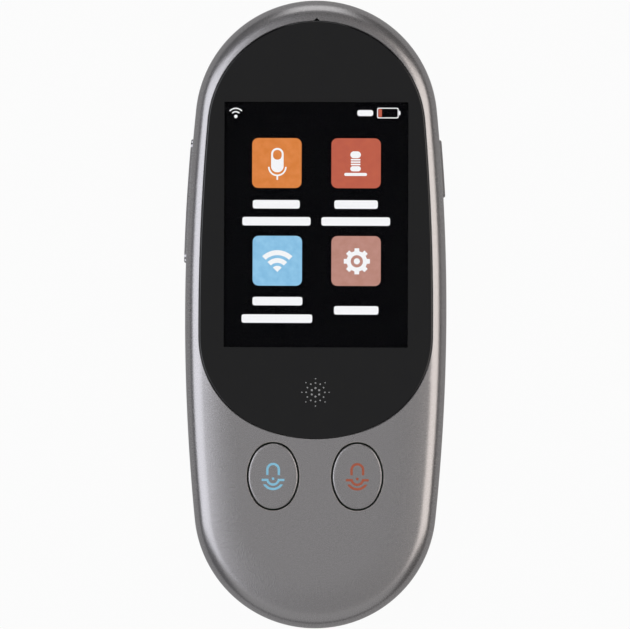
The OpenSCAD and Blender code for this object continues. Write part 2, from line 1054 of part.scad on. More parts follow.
module charge_socket() {
    color([0.78, 0.79, 0.81])
    difference() {
        along_y(socket_y, socket_y + socket_l)
            socket_outline(0);
        along_y(socket_y - over, socket_y + socket_l - socket_wall)
            socket_outline(-socket_wall);
    }
}

module charge_tongue() {
    back = socket_y + socket_l - socket_wall;
    color([0.12, 0.12, 0.13]) {
        along_y(back - insulator_l, back)
            socket_outline(-socket_wall - seat);
        along_y(socket_y + tongue_gap, back)
            square([tongue_w, tongue_t], center = true);
    }
}

module microphone() {
    color([0.8, 0.75, 0.55])
    block(mic_w, mic_l, board_top, board_top + mic_h, 0.2);
}

module boot_block(top) {
    color([0.15, 0.15, 0.15])
    difference() {
        block(mic_w + 2 * mic_wall, mic_l + 2 * mic_wall, board_top, top, 0.3);
        block(mic_w + seat, mic_l + seat, 0, board_top + mic_h + seat, 0.2);
        children();
    }
}

module lower_microphone() {
    at_lower_mic()
        microphone();
}

module lower_microphone_boot() {
    at_lower_mic()
        boot_block(board_top + mic_h + mic_wall)
            translate([0, 0, board_top + mic_h / 2])
                rotate([90, 0, 0])
                    cylinder(d = mic_hole, h = end_r);
}

module upper_microphone() {
    at_upper_mic()
        microphone();
}

module upper_microphone_boot() {
    at_upper_mic()
        boot_block(ledge_low)
            rod(mic_hole, 0, body_t);
}

// Thin strip that stands on the board along the top right of its edge
module antenna() {
    strip_t = 0.2;
    strip_h = 2;
    turn0 = 35;
    turn1 = 72;
    far = 2 * end_r;
    color([0.8, 0.6, 0.2])
    layer(board_top, board_top + strip_h)
        translate([0, end_y])
            intersection() {
                difference() {
                    circle(r = end_r - board_inset - 0.3);
                    circle(r = end_r - board_inset - 0.3 - strip_t);
                }
                polygon([
                    [0, 0],
                    far * [cos(turn0), sin(turn0)],
                    far * [cos(turn1), sin(turn1)]
                ]);
            }
}

front_housing();
rear_cover();
housing_screws();
cover_glass();
glass_tape();
display_bond();
display_panel();
backlight();
display_flex();
display_connector();
display_support();
support_screws();
button_cap(-1);  // left_button_cap
button_icon(-1);  // left_button_icon
button_pusher(-1);  // left_button_pusher
switch_plunger(-1);  // left_switch_plunger
tact_switch(-1);  // left_switch
button_cap(1);  // right_button_cap
button_icon(1);  // right_button_icon
button_pusher(1);  // right_button_pusher
switch_plunger(1);  // right_switch_plunger
tact_switch(1);  // right_switch
volume_key();
volume_switches();
power_key();
power_switch_plunger();
power_switch();
main_board();
shield_can();
processor_chip();
memory_chip();
power_chip();
radio_chip();
battery();
battery_tape();
battery_leads();
battery_header();
speaker();
speaker_gasket();
speaker_mesh();
charge_socket();
charge_tongue();
lower_microphone();
lower_microphone_boot();
upper_microphone();
upper_microphone_boot();
antenna();
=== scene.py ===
"""Looks of the handheld translator: shells, cover glass, display, buttons, keys, finishes and studio."""
import logging
import math
from dataclasses import dataclass
from enum import Enum
from typing import Callable, Iterable, Optional, Sequence

import bmesh
import bpy
from mathutils import Matrix, Vector
from mathutils.geometry import delaunay_2d_cdt


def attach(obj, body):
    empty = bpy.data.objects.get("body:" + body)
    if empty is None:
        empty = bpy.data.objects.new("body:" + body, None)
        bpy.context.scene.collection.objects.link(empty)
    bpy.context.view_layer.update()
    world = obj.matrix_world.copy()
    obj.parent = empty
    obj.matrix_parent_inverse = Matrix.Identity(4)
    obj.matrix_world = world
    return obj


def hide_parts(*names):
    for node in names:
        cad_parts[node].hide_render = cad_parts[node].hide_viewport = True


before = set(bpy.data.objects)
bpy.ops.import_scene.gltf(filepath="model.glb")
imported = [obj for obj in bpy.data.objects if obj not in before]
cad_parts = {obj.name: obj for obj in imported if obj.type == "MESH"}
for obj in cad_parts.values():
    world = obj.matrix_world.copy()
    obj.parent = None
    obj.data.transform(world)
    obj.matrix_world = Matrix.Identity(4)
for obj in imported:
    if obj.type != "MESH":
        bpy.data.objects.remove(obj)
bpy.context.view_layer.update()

# One millimetre in metres
MM = 0.001
# Edges that turn by more than this stay sharp
SHARP = math.radians(32.0)
LOG = logging.getLogger("translator")

Point2 = tuple[float, float]
Point3 = tuple[float, float, float]
Ring = list[Point3]
Verts = list[bmesh.types.BMVert]


# ---- colour ----

def linear(code: str) -> tuple[float, float, float, float]:
    """The scene-linear colour of an sRGB hex code.

    Args:
        code: Six hex digits, with or without a leading #.

    Returns:
        Red, green, blue and an alpha of 1.
    """
    digits = code.lstrip("#")
    out = []
    for k in (0, 2, 4):
        v = int(digits[k:k + 2], 16) / 255
        out.append(v / 12.92 if v <= 0.04045 else ((v + 0.055) / 1.055) ** 2.4)
    return (out[0], out[1], out[2], 1.0)


# ---- helpers for nodes and objects ----

def add_node(tree: bpy.types.NodeTree, kind: str, inputs: Optional[dict] = None,
             **settings: object) -> bpy.types.Node:
    """Adds a node, sets its fields, and sets or links its inputs.

    Args:
        tree: The node tree.
        kind: The node's type name.
        inputs: Input names or numbers, with a value or an output socket for each.
        **settings: Fields of the node.

    Returns:
        The new node.
    """
    node = tree.nodes.new(kind)
    for name, value in settings.items():
        setattr(node, name, value)
    for name, value in (inputs or {}).items():
        if isinstance(value, bpy.types.NodeSocket):
            tree.links.new(value, node.inputs[name])
        else:
            node.inputs[name].default_value = value
    return node


def empty_material(name: str) -> bpy.types.Material:
    """A new material without any node.

    Args:
        name: Its name.

    Returns:
        The material.
    """
    made = bpy.data.materials.new(name)
    made.use_nodes = True
    made.node_tree.nodes.clear()
    return made


def add_object(name: str, data: bpy.types.ID) -> bpy.types.Object:
    """A new object of a mesh, a lamp or a camera, linked to the scene.

    Args:
        name: Its name.
        data: The mesh, lamp or camera.

    Returns:
        The object.
    """
    obj = bpy.data.objects.new(name, data)
    bpy.context.scene.collection.objects.link(obj)
    return obj


class Pattern(Enum):
    """How a finish varies over its surface."""

    SPECKLE = "speckle"
    BRUSHED = "brushed"
    WOVEN = "woven"
    CLOUD = "cloud"
    TRACES = "traces"


@dataclass(frozen=True)
class Finish:
    """A procedural finish of one real material.

    Attributes:
        name: Name of the real material.
        light: Hex colour of the lighter part.
        dark: Hex colour of the darker part.
        metallic: Share of metal reflection.
        rough: Middle roughness.
        rough_spread: How far the roughness varies.
        grain: Size of the pattern in millimetres.
        pattern: Kind of variation.
        bump: Height of the relief in millimetres.
        coat: Strength of the clear coat.
        glow: Emission strength.
        specular: Level of the surface reflection.
    """

    name: str
    light: str
    dark: str
    metallic: float = 0.0
    rough: float = 0.5
    rough_spread: float = 0.08
    grain: float = 0.3
    pattern: Pattern = Pattern.SPECKLE
    bump: float = 0.004
    coat: float = 0.0
    glow: float = 0.0
    specular: float = 0.5

    def material(self) -> bpy.types.Material:
        """The Blender material, made on first use.

        Returns:
            The material.
        """
        known = bpy.data.materials.get(self.name)
        if known:
            return known
        made = empty_material(self.name)
        tree = made.node_tree
        value = self._pattern_value(tree)
        colour = add_node(tree, "ShaderNodeMix", {
            "Factor": value, "A": linear(self.dark), "B": linear(self.light)}, data_type="RGBA")
        rough = add_node(tree, "ShaderNodeMapRange", {
            "Value": value, "To Min": self.rough - self.rough_spread,
            "To Max": self.rough + self.rough_spread})
        bump = add_node(tree, "ShaderNodeBump", {
            "Strength": 1.0, "Distance": self.bump * MM, "Height": value})
        shader = add_node(tree, "ShaderNodeBsdfPrincipled", {
            "Roughness": rough.outputs["Result"], "Metallic": self.metallic, "Coat Weight": self.coat,
            "Coat Roughness": 0.08, "Specular IOR Level": self.specular,
            "Normal": bump.outputs["Normal"], "Emission Strength": self.glow})
        if self.glow > 0:
            # A lit layer gives out its colour and reflects nothing
            shader.inputs["Base Color"].default_value = (0.0, 0.0, 0.0, 1.0)
            shader.inputs["Specular IOR Level"].default_value = 0.0
            tree.links.new(colour.outputs["Result"], shader.inputs["Emission Color"])
        else:
            tree.links.new(colour.outputs["Result"], shader.inputs["Base Color"])
        add_node(tree, "ShaderNodeOutputMaterial", {"Surface": shader.outputs["BSDF"]})
        return made

    def _pattern_value(self, tree: bpy.types.NodeTree) -> bpy.types.NodeSocket:
        """The pattern in object coordinates.

        Args:
            tree: The material's nodes.

        Returns:
            An output that runs from 0 to 1 over the pattern.
        """
        where = add_node(tree, "ShaderNodeTexCoord")
        per_metre = 1 / (self.grain * MM)
        # The lines of a brushed finish run along the body
        stretch = (1.0, 0.03, 1.0) if self.pattern is Pattern.BRUSHED else (1.0, 1.0, 1.0)
        place = add_node(tree, "ShaderNodeMapping", {
            "Vector": where.outputs["Object"], "Scale": tuple(per_metre * s for s in stretch)})
        if self.pattern is Pattern.WOVEN:
            waves = [add_node(tree, "ShaderNodeTexWave", {"Vector": place.outputs["Vector"], "Scale": 0.3},
                              bands_direction=d) for d in ("X", "Y")]
            both = add_node(tree, "ShaderNodeMath", {
                0: waves[0].outputs["Fac"], 1: waves[1].outputs["Fac"]}, operation="MULTIPLY")
            return both.outputs["Value"]
        if self.pattern is Pattern.TRACES:
            cells = add_node(tree, "ShaderNodeTexBrick", {
                "Vector": place.outputs["Vector"], "Scale": 1.0, "Mortar Size": 0.06})
            return cells.outputs["Fac"]
        detail = 2.0 if self.pattern is Pattern.CLOUD else 6.0
        noise = add_node(tree, "ShaderNodeTexNoise", {
            "Vector": place.outputs["Vector"], "Scale": 1.0, "Detail": detail, "Roughness": 0.6})
        spread = add_node(tree, "ShaderNodeMapRange", {
            "Value": noise.outputs["Fac"], "From Min": 0.3, "From Max": 0.7})
        return spread.outputs["Result"]


@dataclass(frozen=True)
class ClearGlass:
    """Clear material that lets light through.

    Attributes:
        name: Name of the real material.
        bends: Whether it reflects, or only tints what lies behind it.
        index: Refractive index of its outer film.
        tint: Hex colour.
    """

    name: str
    bends: bool = True
    index: float = 1.5
    tint: str = "FFFFFF"

    def material(self) -> bpy.types.Material:
        """The Blender material, made on first use.

        Returns:
            The material.
        """
        known = bpy.data.materials.get(self.name)
        if known:
            return known
        made = empty_material(self.name)
        tree = made.node_tree
        clear = add_node(tree, "ShaderNodeBsdfTransparent", {"Color": linear(self.tint)})
        surface = clear.outputs["BSDF"]
        if self.bends:
            gloss = add_node(tree, "ShaderNodeBsdfGlossy", {"Roughness": 0.02})
            fresnel = add_node(tree, "ShaderNodeFresnel", {"IOR": self.index})
            face = add_node(tree, "ShaderNodeNewGeometry")
            # Only the outer side of a face reflects
            front = add_node(tree, "ShaderNodeMath", {
                0: 1.0, 1: face.outputs["Backfacing"]}, operation="SUBTRACT")
            share = add_node(tree, "ShaderNodeMath", {
                0: fresnel.outputs["Fac"], 1: front.outputs["Value"]}, operation="MULTIPLY")
            mixed = add_node(tree, "ShaderNodeMixShader", {
                0: share.outputs["Value"], 1: surface, 2: gloss.outputs["BSDF"]})
            surface = mixed.outputs["Shader"]
        add_node(tree, "ShaderNodeOutputMaterial", {"Surface": surface})
        return made


# Satin metallic lacquer on the moulded front shell
PAINT = Finish("SatinMetallicPaint", "A4A2A3", "9C9A9B", metallic=0.75, rough=0.27, rough_spread=0.02,
               grain=0.09, bump=0.0012)
# The same lacquer on the rear cover
COVER_PAINT = Finish("SatinMetallicPaintRear", "A09E9F", "989697", metallic=0.75, rough=0.4,
                     rough_spread=0.03, grain=0.09, bump=0.0012)
# Soft edge round the openings of the talk buttons, lighter and shinier than the paint: a painted highlight
PAINTED_HIGHLIGHT_EDGE = Finish("PaintedHighlightEdge", "D8D5D2", "CBC8C6", metallic=0.6, rough=0.25, grain=0.2,
                     pattern=Pattern.BRUSHED, bump=0.0005)
# Black ink behind the cover glass, also laid on the walls and floor of the notch as painted shade
INK_AND_PAINTED_SHADE = Finish("BlackInkAndPaintedShade", "2A2A2B", "272728", rough=0.3, rough_spread=0.01, grain=0.6,
             pattern=Pattern.CLOUD, bump=0.0, specular=0.0)
# Dark display cell
CELL = Finish("DisplayCellGlass", "050507", "030305", rough=0.2, rough_spread=0.01, grain=0.25, bump=0.0,
              specular=0.05)


# ---- sizes, in millimetres, as in the solids ----

@dataclass(frozen=True)
class Sizes:
    """Named sizes of the body, which the solids share.

    Attributes:
        half_w: Half of the width.
        half_l: Half of the length.
        top: Level of the front face.
        sweep: Half of the angle that a side's arc spans, in degrees.
        front_r: Radius of the front edge.
        crown_r: Radius of the flat arc between front edge and front face.
        crown_w: Depth inside the outline at which the front face starts.
        rear_r: Radius of the rear edge.
        wall: Thickness of the walls.
        seam: Level of the parting line.
        lip_h: Height of the groove for the rear cover's lip.
        lip_in: Depth of that groove's outer wall.
        glass_z: Level of the glass's lower face.
        glass_t: Thickness of the glass.
        ledge: Level of the seat of the glass.
        ledge_low: Level of the ceiling of the inside.
        glass_gap: Gap round the glass.
        mid_z: Middle level of the side keys and the charging inlet.
    """

    half_w: float = 26.23
    half_l: float = 62.97
    top: float = 12.5
    sweep: float = 5.8
    front_r: float = 3.6
    crown_r: float = 55.0
    crown_w: float = 10.0
    rear_r: float = 5.0
    wall: float = 1.3
    seam: float = 3.9
    lip_h: float = 0.75
    lip_in: float = 0.65
    glass_z: float = 11.4
    glass_t: float = 0.9
    ledge: float = 11.25
    ledge_low: float = 10.2
    glass_gap: float = 0.1
    mid_z: float = 6.75

    @property
    def end_y(self) -> float:
        """Distance of an end arc's centre from the middle."""
        return (self.half_l - self.half_w) / (1 - math.tan(math.radians(self.sweep / 2)))

    @property
    def end_r(self) -> float:
        """Radius of an end arc."""
        return self.half_l - self.end_y

    @property
    def side_r(self) -> float:
        """Radius of a side arc."""
        return self.half_w + self.end_y / math.tan(math.radians(self.sweep))

    @property
    def side_x(self) -> float:
        """Distance of a side arc's centre from the middle."""
        return self.side_r - self.half_w

    @property
    def front_z(self) -> float:
        """Level at which the front arc starts."""
        rise = math.sqrt((self.crown_r - self.front_r) ** 2 - (self.crown_w - self.front_r) ** 2)
        return self.top - self.crown_r + rise

    @property
    def turn_d(self) -> float:
        """Depth inside the side at which the front arc passes into the crown."""
        run = self.crown_w - self.front_r
        return self.front_r * (1 - run / (self.crown_r - self.front_r))

    def front_height(self, depth: float) -> float:
        """Level of the front surface.

        Args:
            depth: Distance inside the outline.

        Returns:
            The height above the back.
        """
        if depth >= self.crown_w:
            return self.top
        if depth > self.turn_d:
            return self.top - self.crown_r + math.sqrt(self.crown_r ** 2 - (self.crown_w - depth) ** 2)
        low = max(depth, 0.0)
        return self.front_z + math.sqrt(max(self.front_r ** 2 - (self.front_r - low) ** 2, 0.0))

    def depth(self, x: float, y: float) -> float:
        """Distance of a point inside the body's outline.

        Args:
            x: Place of the point along X.
            y: Place of the point along Y.

        Returns:
            The distance, negative outside.
        """
        ay = abs(y) - self.end_y
        if ay > 0 and ay * math.cos(math.radians(self.sweep)) > abs(x) * math.sin(math.radians(self.sweep)):
            return self.end_r - math.hypot(x, ay)
        return self.side_r - math.hypot(abs(x) + self.side_x, y)

    def side_depth_x(self, y: float, depth: float) -> float:
        """Distance from the middle line of a point on the side."""
        return math.sqrt((self.side_r - depth) ** 2 - y ** 2) - self.side_x


BODY = Sizes()


@dataclass(frozen=True)
class Station:
    """A place on an outline of arcs: its arc's centre and radius, and the direction outward."""

    cx: float
    cy: float
    r: float
    turn: float

    def at(self, inset: float, z: float) -> Point3:
        """The point at this station, inset from the outline, at level z."""
        reach = self.r - inset
        return (self.cx + reach * math.cos(self.turn), self.cy + reach * math.sin(self.turn), z)


def arc_stations(arcs: Sequence[Point3], counts: Sequence[int]) -> list[Station]:
    """Stations round a closed outline of touching arcs.

    Args:
        arcs: Centre x, centre y and radius of each arc, counter-clockwise.
        counts: Steps on each arc.

    Returns:
        The stations in order.
    """
    n = len(arcs)
    turns = []
    for k in range(n):
        a, b = arcs[k], arcs[(k + 1) % n]
        small, big = (a, b) if a[2] < b[2] else (b, a)
        turns.append(math.atan2(small[1] - big[1], small[0] - big[0]))
    out = []
    for k, (cx, cy, r) in enumerate(arcs):
        start, end = turns[k - 1], turns[k]
        while end < start:
            end += 2 * math.pi
        for j in range(counts[k]):
            out.append(Station(cx, cy, r, start + (end - start) * j / counts[k]))
    return out


def body_stations() -> list[Station]:
    """Stations round the body.

    Returns:
        The stations in order, counter-clockwise.
    """
    arcs = [(0.0, BODY.end_y, BODY.end_r), (BODY.side_x, 0.0, BODY.side_r),
            (0.0, -BODY.end_y, BODY.end_r), (-BODY.side_x, 0.0, BODY.side_r)]
    return arc_stations(arcs, (96, 48, 96, 48))


def rings(around: Sequence[Station], profile: Sequence[Point2]) -> list[Ring]:
    """Closed rings of points round an outline, one for each inset and level of the profile."""
    return [[s.at(d, z) for s in around] for d, z in profile]


def level(loop: Iterable[Point2], z: float) -> Ring:
    """The points of a flat loop, put at level z."""
    return [(x, y, z) for x, y in loop]


def round_edge(edge: float, top: float, steps: int) -> list[Point2]:
    """Inset and level along a rounded upper edge.

    Args:
        edge: Radius of the edge.
        top: Level of the face that it leads to.
        steps: Steps along it.

    Returns:
        The points after the end of the wall, up to the face.
    """
    turns = [math.radians(90 * k / steps) for k in range(1, steps + 1)]
    return [(edge * (1 - math.cos(a)), top - edge * (1 - math.sin(a))) for a in turns]


def round_box(w: float, l: float, r: float, cx: float = 0.0, cy: float = 0.0,
              steps: int = 8) -> list[Point2]:
    """A rectangle with round corners, counter-clockwise.

    Args:
        w: Width.
        l: Length.
        r: Corner radius.
        cx: Centre along X.
        cy: Centre along Y.
        steps: Steps on each corner.

    Returns:
        The outline's points.
    """
    out = []
    for k, (sx, sy) in enumerate(((1, 1), (-1, 1), (-1, -1), (1, -1))):
        for j in range(steps + 1):
            a = math.radians(90 * k + 90 * j / steps)
            out.append((cx + sx * (w / 2 - r) + r * math.cos(a), cy + sy * (l / 2 - r) + r * math.sin(a)))
    return out


def circle(r: float, cx: float = 0.0, cy: float = 0.0, steps: int = 32) -> list[Point2]:
    """Points of a circle, counter-clockwise."""
    return [(cx + r * math.cos(2 * math.pi * k / steps), cy + r * math.sin(2 * math.pi * k / steps))
            for k in range(steps)]


def inside(point: Point2, loop: Sequence[Point2]) -> bool:
    """Whether a point lies inside a closed loop.

    Args:
        point: The point.
        loop: The loop's points in order.

    Returns:
        True where a line from the point crosses the loop an odd number of times.
    """
    x, y = point
    hit = False
    for k in range(len(loop)):
        (x0, y0), (x1, y1) = loop[k - 1], loop[k]
        if (y0 > y) != (y1 > y) and x < (x1 - x0) * (y - y0) / (y1 - y0) + x0:
            hit = not hit
    return hit


# ---- mesh building ----

class Mesh:
    """Collects points and faces in millimetres and makes an object of them."""

    def __init__(self) -> None:
        """Starts empty."""
        self.bm = bmesh.new()

    def ring(self, points: Iterable[Point3]) -> Verts:
        """Adds points as vertices and returns them in order."""
        return [self.bm.verts.new((p[0] * MM, p[1] * MM, p[2] * MM)) for p in points]

    def bridge(self, low: Verts, high: Verts, mat: int = 0) -> None:
        """Joins two rings of the same count with quads.

        Args:
            low: The first ring, counter-clockwise from above.
            high: The second ring; the faces look outward where it lies above the first.
            mat: Material index.
        """
        n = len(low)
        for k in range(n):
            face = self.bm.faces.new((low[k], low[(k + 1) % n], high[(k + 1) % n], high[k]))
            face.material_index = mat

    def loft(self, rows: Iterable[Iterable[Point3]]) -> list[Verts]:
        """Adds rings of points and joins each to the next.

        Args:
            rows: The rings' points, with the same count in each.

        Returns:
            The vertices of each ring.
        """
        made = [self.ring(points) for points in rows]
        for low, high in zip(made, made[1:]):
            self.bridge(low, high)
        return made

    def cap(self, verts: Verts, up: bool = True) -> None:
        """Closes a ring with one face."""
        self.bm.faces.new(verts if up else list(reversed(verts)))

    def column(self, outline: Sequence[Point2], z0: float, z1: float) -> None:
        """Adds a closed upright form of an outline, between two levels.

        Args:
            outline: Its outline, counter-clockwise.
            z0: Its lower level.
            z1: Its upper level.
        """
        low, high = self.loft([level(outline, z0), level(outline, z1)])
        self.cap(low, False)
        self.cap(high)

    def sheet(self, outer: Verts, holes: Sequence[Verts], fill: Sequence[Point2],
              height: Callable[[float, float], float], up: bool = True) -> None:
        """Fills the area between an outer ring and holes, on a surface of given height.

        Args:
            outer: Vertices of the outer ring.
            holes: Vertices of each hole's ring.
            fill: Points between them, which get new vertices.
            height: Level of the surface at a point.
            up: Whether the faces look up.
        """
        verts = list(outer)
        loops = [[(v.co.x / MM, v.co.y / MM) for v in outer]]
        edges = [(k, (k + 1) % len(outer)) for k in range(len(outer))]
        for hole in holes:
            base = len(verts)
            verts += list(hole)
            loops.append([(v.co.x / MM, v.co.y / MM) for v in hole])
            edges += [(base + k, base + (k + 1) % len(hole)) for k in range(len(hole))]
        flat = [Vector(p) for loop in loops for p in loop]
        for p in fill:
            if inside(p, loops[0]) and not any(inside(p, h) for h in loops[1:]):
                flat.append(Vector(p))
                verts += self.ring([(p[0], p[1], height(*p))])
        points, _, faces, back, _, _ = delaunay_2d_cdt(flat, edges, [], 0, 1e-7)
        for tri in faces:
            mid = sum((points[k] for k in tri), Vector((0.0, 0.0))) / len(tri)
            if not inside((mid.x, mid.y), loops[0]) or any(inside((mid.x, mid.y), h) for h in loops[1:]):
                continue
            corners = [verts[back[k][0]] for k in tri]
            try:
                self.bm.faces.new(corners if up else list(reversed(corners)))
            except ValueError:
                # The face is there already, so it is left as it is
                continue

    def prism(self, outline: Sequence[Point2], holes: Sequence[Sequence[Point2]], z0: float,
              z1: float) -> None:
        """Adds a closed flat form of an outline with holes, between two levels.

        Args:
            outline: Its outer loop.
            holes: Its holes' loops.
            z0: Its lower level.
            z1: Its upper level.
        """
        pairs = [self.loft([level(loop, z0), level(loop, z1)]) for loop in [outline, *holes]]
        lows, tops = [low for low, _ in pairs], [high for _, high in pairs]
        self.sheet(tops[0], tops[1:], [], lambda x, y: z1)
        self.sheet(lows[0], lows[1:], [], lambda x, y: z0, up=False)

    def object(self, name: str, finishes: Sequence[Finish | ClearGlass]) -> bpy.types.Object:
        """Makes the object.

        Args:
            name: Name of the piece.
            finishes: Its materials in index order.

        Returns:
            The linked object.
        """
        bmesh.ops.remove_doubles(self.bm, verts=self.bm.verts, dist=1e-7)
        bmesh.ops.recalc_face_normals(self.bm, faces=self.bm.faces)
        data = bpy.data.meshes.new(name)
        finish_mesh(self.bm)
        self.bm.to_mesh(data)
        self.bm.free()
        for finish in finishes:
            data.materials.append(finish.material())
        return add_object(name, data)


def finish_mesh(bm: bmesh.types.BMesh) -> None:
    """Makes faces smooth, and keeps edges beyond the SHARP angle sharp.

    Args:
        bm: The mesh.
    """
    for face in bm.faces:
        face.smooth = True
    for edge in bm.edges:
        edge.smooth = len(edge.link_faces) == 2 and edge.calc_face_angle(0.0) < SHARP


def cut(obj: bpy.types.Object, cutters: Sequence[bpy.types.Object]) -> None:
    """Cuts closed cutters out of an object and removes them.

    Args:
        obj: The object to cut.
        cutters: The cutters.
    """
    for cutter in cutters:
        mod = obj.modifiers.new("cut", "BOOLEAN")
        mod.operation = "DIFFERENCE"
        mod.solver = "EXACT"
        # Cut faces take the cutter's material, which paints the notch black as painted shade
        mod.material_mode = "TRANSFER"
        mod.object = cutter
    graph = bpy.context.evaluated_depsgraph_get()
    fresh = bpy.data.meshes.new_from_object(obj.evaluated_get(graph))
    obj.modifiers.clear()
    old = obj.data
    bm = bmesh.new()
    bm.from_mesh(fresh)
    finish_mesh(bm)
    bm.to_mesh(fresh)
    bm.free()
    name = old.name
    obj.data = fresh
    bpy.data.meshes.remove(old)
    fresh.name = name
    for cutter in cutters:
        data = cutter.data
        bpy.data.objects.remove(cutter)
        bpy.data.meshes.remove(data)


def report(obj: bpy.types.Object, body: str, slot: str, *nodes: str) -> bpy.types.Object:
    """Makes a piece ride on its body and stand for CAD nodes.

    Args:
        obj: The piece.
        body: Name of the body that it rides on.
        slot: Name of its material slot; not used.
        *nodes: Names of the solids that it replaces.

    Returns:
        The piece.
    """
    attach(obj, body)
    if nodes:
        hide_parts(*nodes)
    LOG.info("%s: %d faces on %s", obj.name, len(obj.data.polygons), body)
    return obj


# ---- outlines of the glass and the buttons ----

@dataclass(frozen=True)
class GlassSizes:
    """Outline of the cover glass, as in the solids, and what lies behind it.

    Attributes:
        rim_side: Width of the rim beside the glass.
        rim_top: Width of the rim at the top end.
        rim_shoulder: How much less the radius of its top end is than the body's.
        length: Length of the glass.
        wide: Distance of its widest place from its lower edge.
        corner_r: Radius of its lower corners.
        bow: Rise of its lower edge from the middle to the corners.
        lit: Left, right, lower and upper end of the display's lit area.
        sound_y: Place of the group of sound holes along Y.
    """

    rim_side: float = 2.93
    rim_top: float = 4.42
    rim_shoulder: float = 2.58
    length: float = 83.4
    wide: float = 23.8
    corner_r: float = 19.5
    bow: float = 0.8
    lit: tuple[float, float, float, float] = (-18.36, 18.36, -6.56, 42.4)
    sound_y: float = -15.55

    @property
    def half_w(self) -> float:
        """Half of the largest width."""
        return BODY.half_w - self.rim_side

    @property
    def top(self) -> float:
        """Level of the top end along Y."""
        return BODY.half_l - self.rim_top

    @property
    def low(self) -> float:
        """Level of the lower edge along Y."""
        return self.top - self.length

    def stations(self) -> list[Station]:
        """Stations round the glass.

        Returns:
            The stations in order, counter-clockwise.
        """
        top_r = BODY.end_r - self.rim_shoulder
        top_y = self.top - top_r
        wide_y = self.low + self.wide
        rise = top_y - wide_y
        hw = self.half_w
        side_r = (hw ** 2 + rise ** 2 - top_r ** 2) / (2 * (hw - top_r))
        corner_h = self.corner_r + self.bow
        corner_x = hw - side_r + math.sqrt((side_r - self.corner_r) ** 2 - (corner_h - self.wide) ** 2)
        low_r = (corner_x ** 2 + corner_h ** 2 - self.corner_r ** 2) / (2 * self.bow)
        arcs = [(0.0, top_y, top_r), (side_r - hw, wide_y, side_r),
                (-corner_x, self.low + corner_h, self.corner_r), (0.0, self.low + low_r, low_r),
                (corner_x, self.low + corner_h, self.corner_r), (hw - side_r, wide_y, side_r)]
        return arc_stations(arcs, (72, 40, 36, 24, 36, 40))


GLASS = GlassSizes()


@dataclass(frozen=True)
class ButtonSizes:
    """Talk buttons, as in the solids.

    Attributes:
        x: Distance of a button from the middle line.
        y: Place of the buttons along Y.
        half_w: Half of a cap's width.
        half_l: Half of a cap's length.
        gap: Gap round a cap.
        top: Level of a cap's face.
        low: Level of a cap's lower end.
        end_share: Radius of a cap's ends as a share of half its width.
    """

    x: float = 8.4
    y: float = -32.3
    half_w: float = 4.9
    half_l: float = 6.5
    gap: float = 0.35
    top: float = 12.735
    low: float = 10.35
    end_share: float = 0.86

    def stations(self, side: int) -> list[Station]:
        """Stations round a button.

        Args:
            side: -1 for the left button and 1 for the right one.

        Returns:
            The stations in order.
        """
        r = self.end_share * self.half_w
        e = self.half_l - r
        big = (self.half_w ** 2 + e ** 2 - r ** 2) / (2 * (self.half_w - r))
        cx, cy = side * self.x, self.y
        arcs = [(cx, cy + e, r), (cx + big - self.half_w, cy, big), (cx, cy - e, r),
                (cx + self.half_w - big, cy, big)]
        return arc_stations(arcs, (32, 20, 32, 20))


BUTTON = ButtonSizes()


# ---- the two shells ----

@dataclass(frozen=True)
class Opening:
    """An opening in the front, with a soft upper edge.

    Attributes:
        stations: Outline of the piece that sits in it.
        gap: Gap round that piece.
        lip: Width and depth of the soft edge.
        floor: Level at which its wall ends.
        mat: Material index of the soft edge.
    """

    stations: list[Station]
    gap: float
    lip: float
    floor: float
    mat: int

    def outline(self, extra: float = 0.0) -> list[Point2]:
        """The outer line of the soft edge, grown by extra."""
        return [s.at(-self.gap - self.lip - extra, 0.0)[:2] for s in self.stations]

    def wall(self) -> list[Point2]:
        """The line of the wall."""
        return [s.at(-self.gap, 0.0)[:2] for s in self.stations]


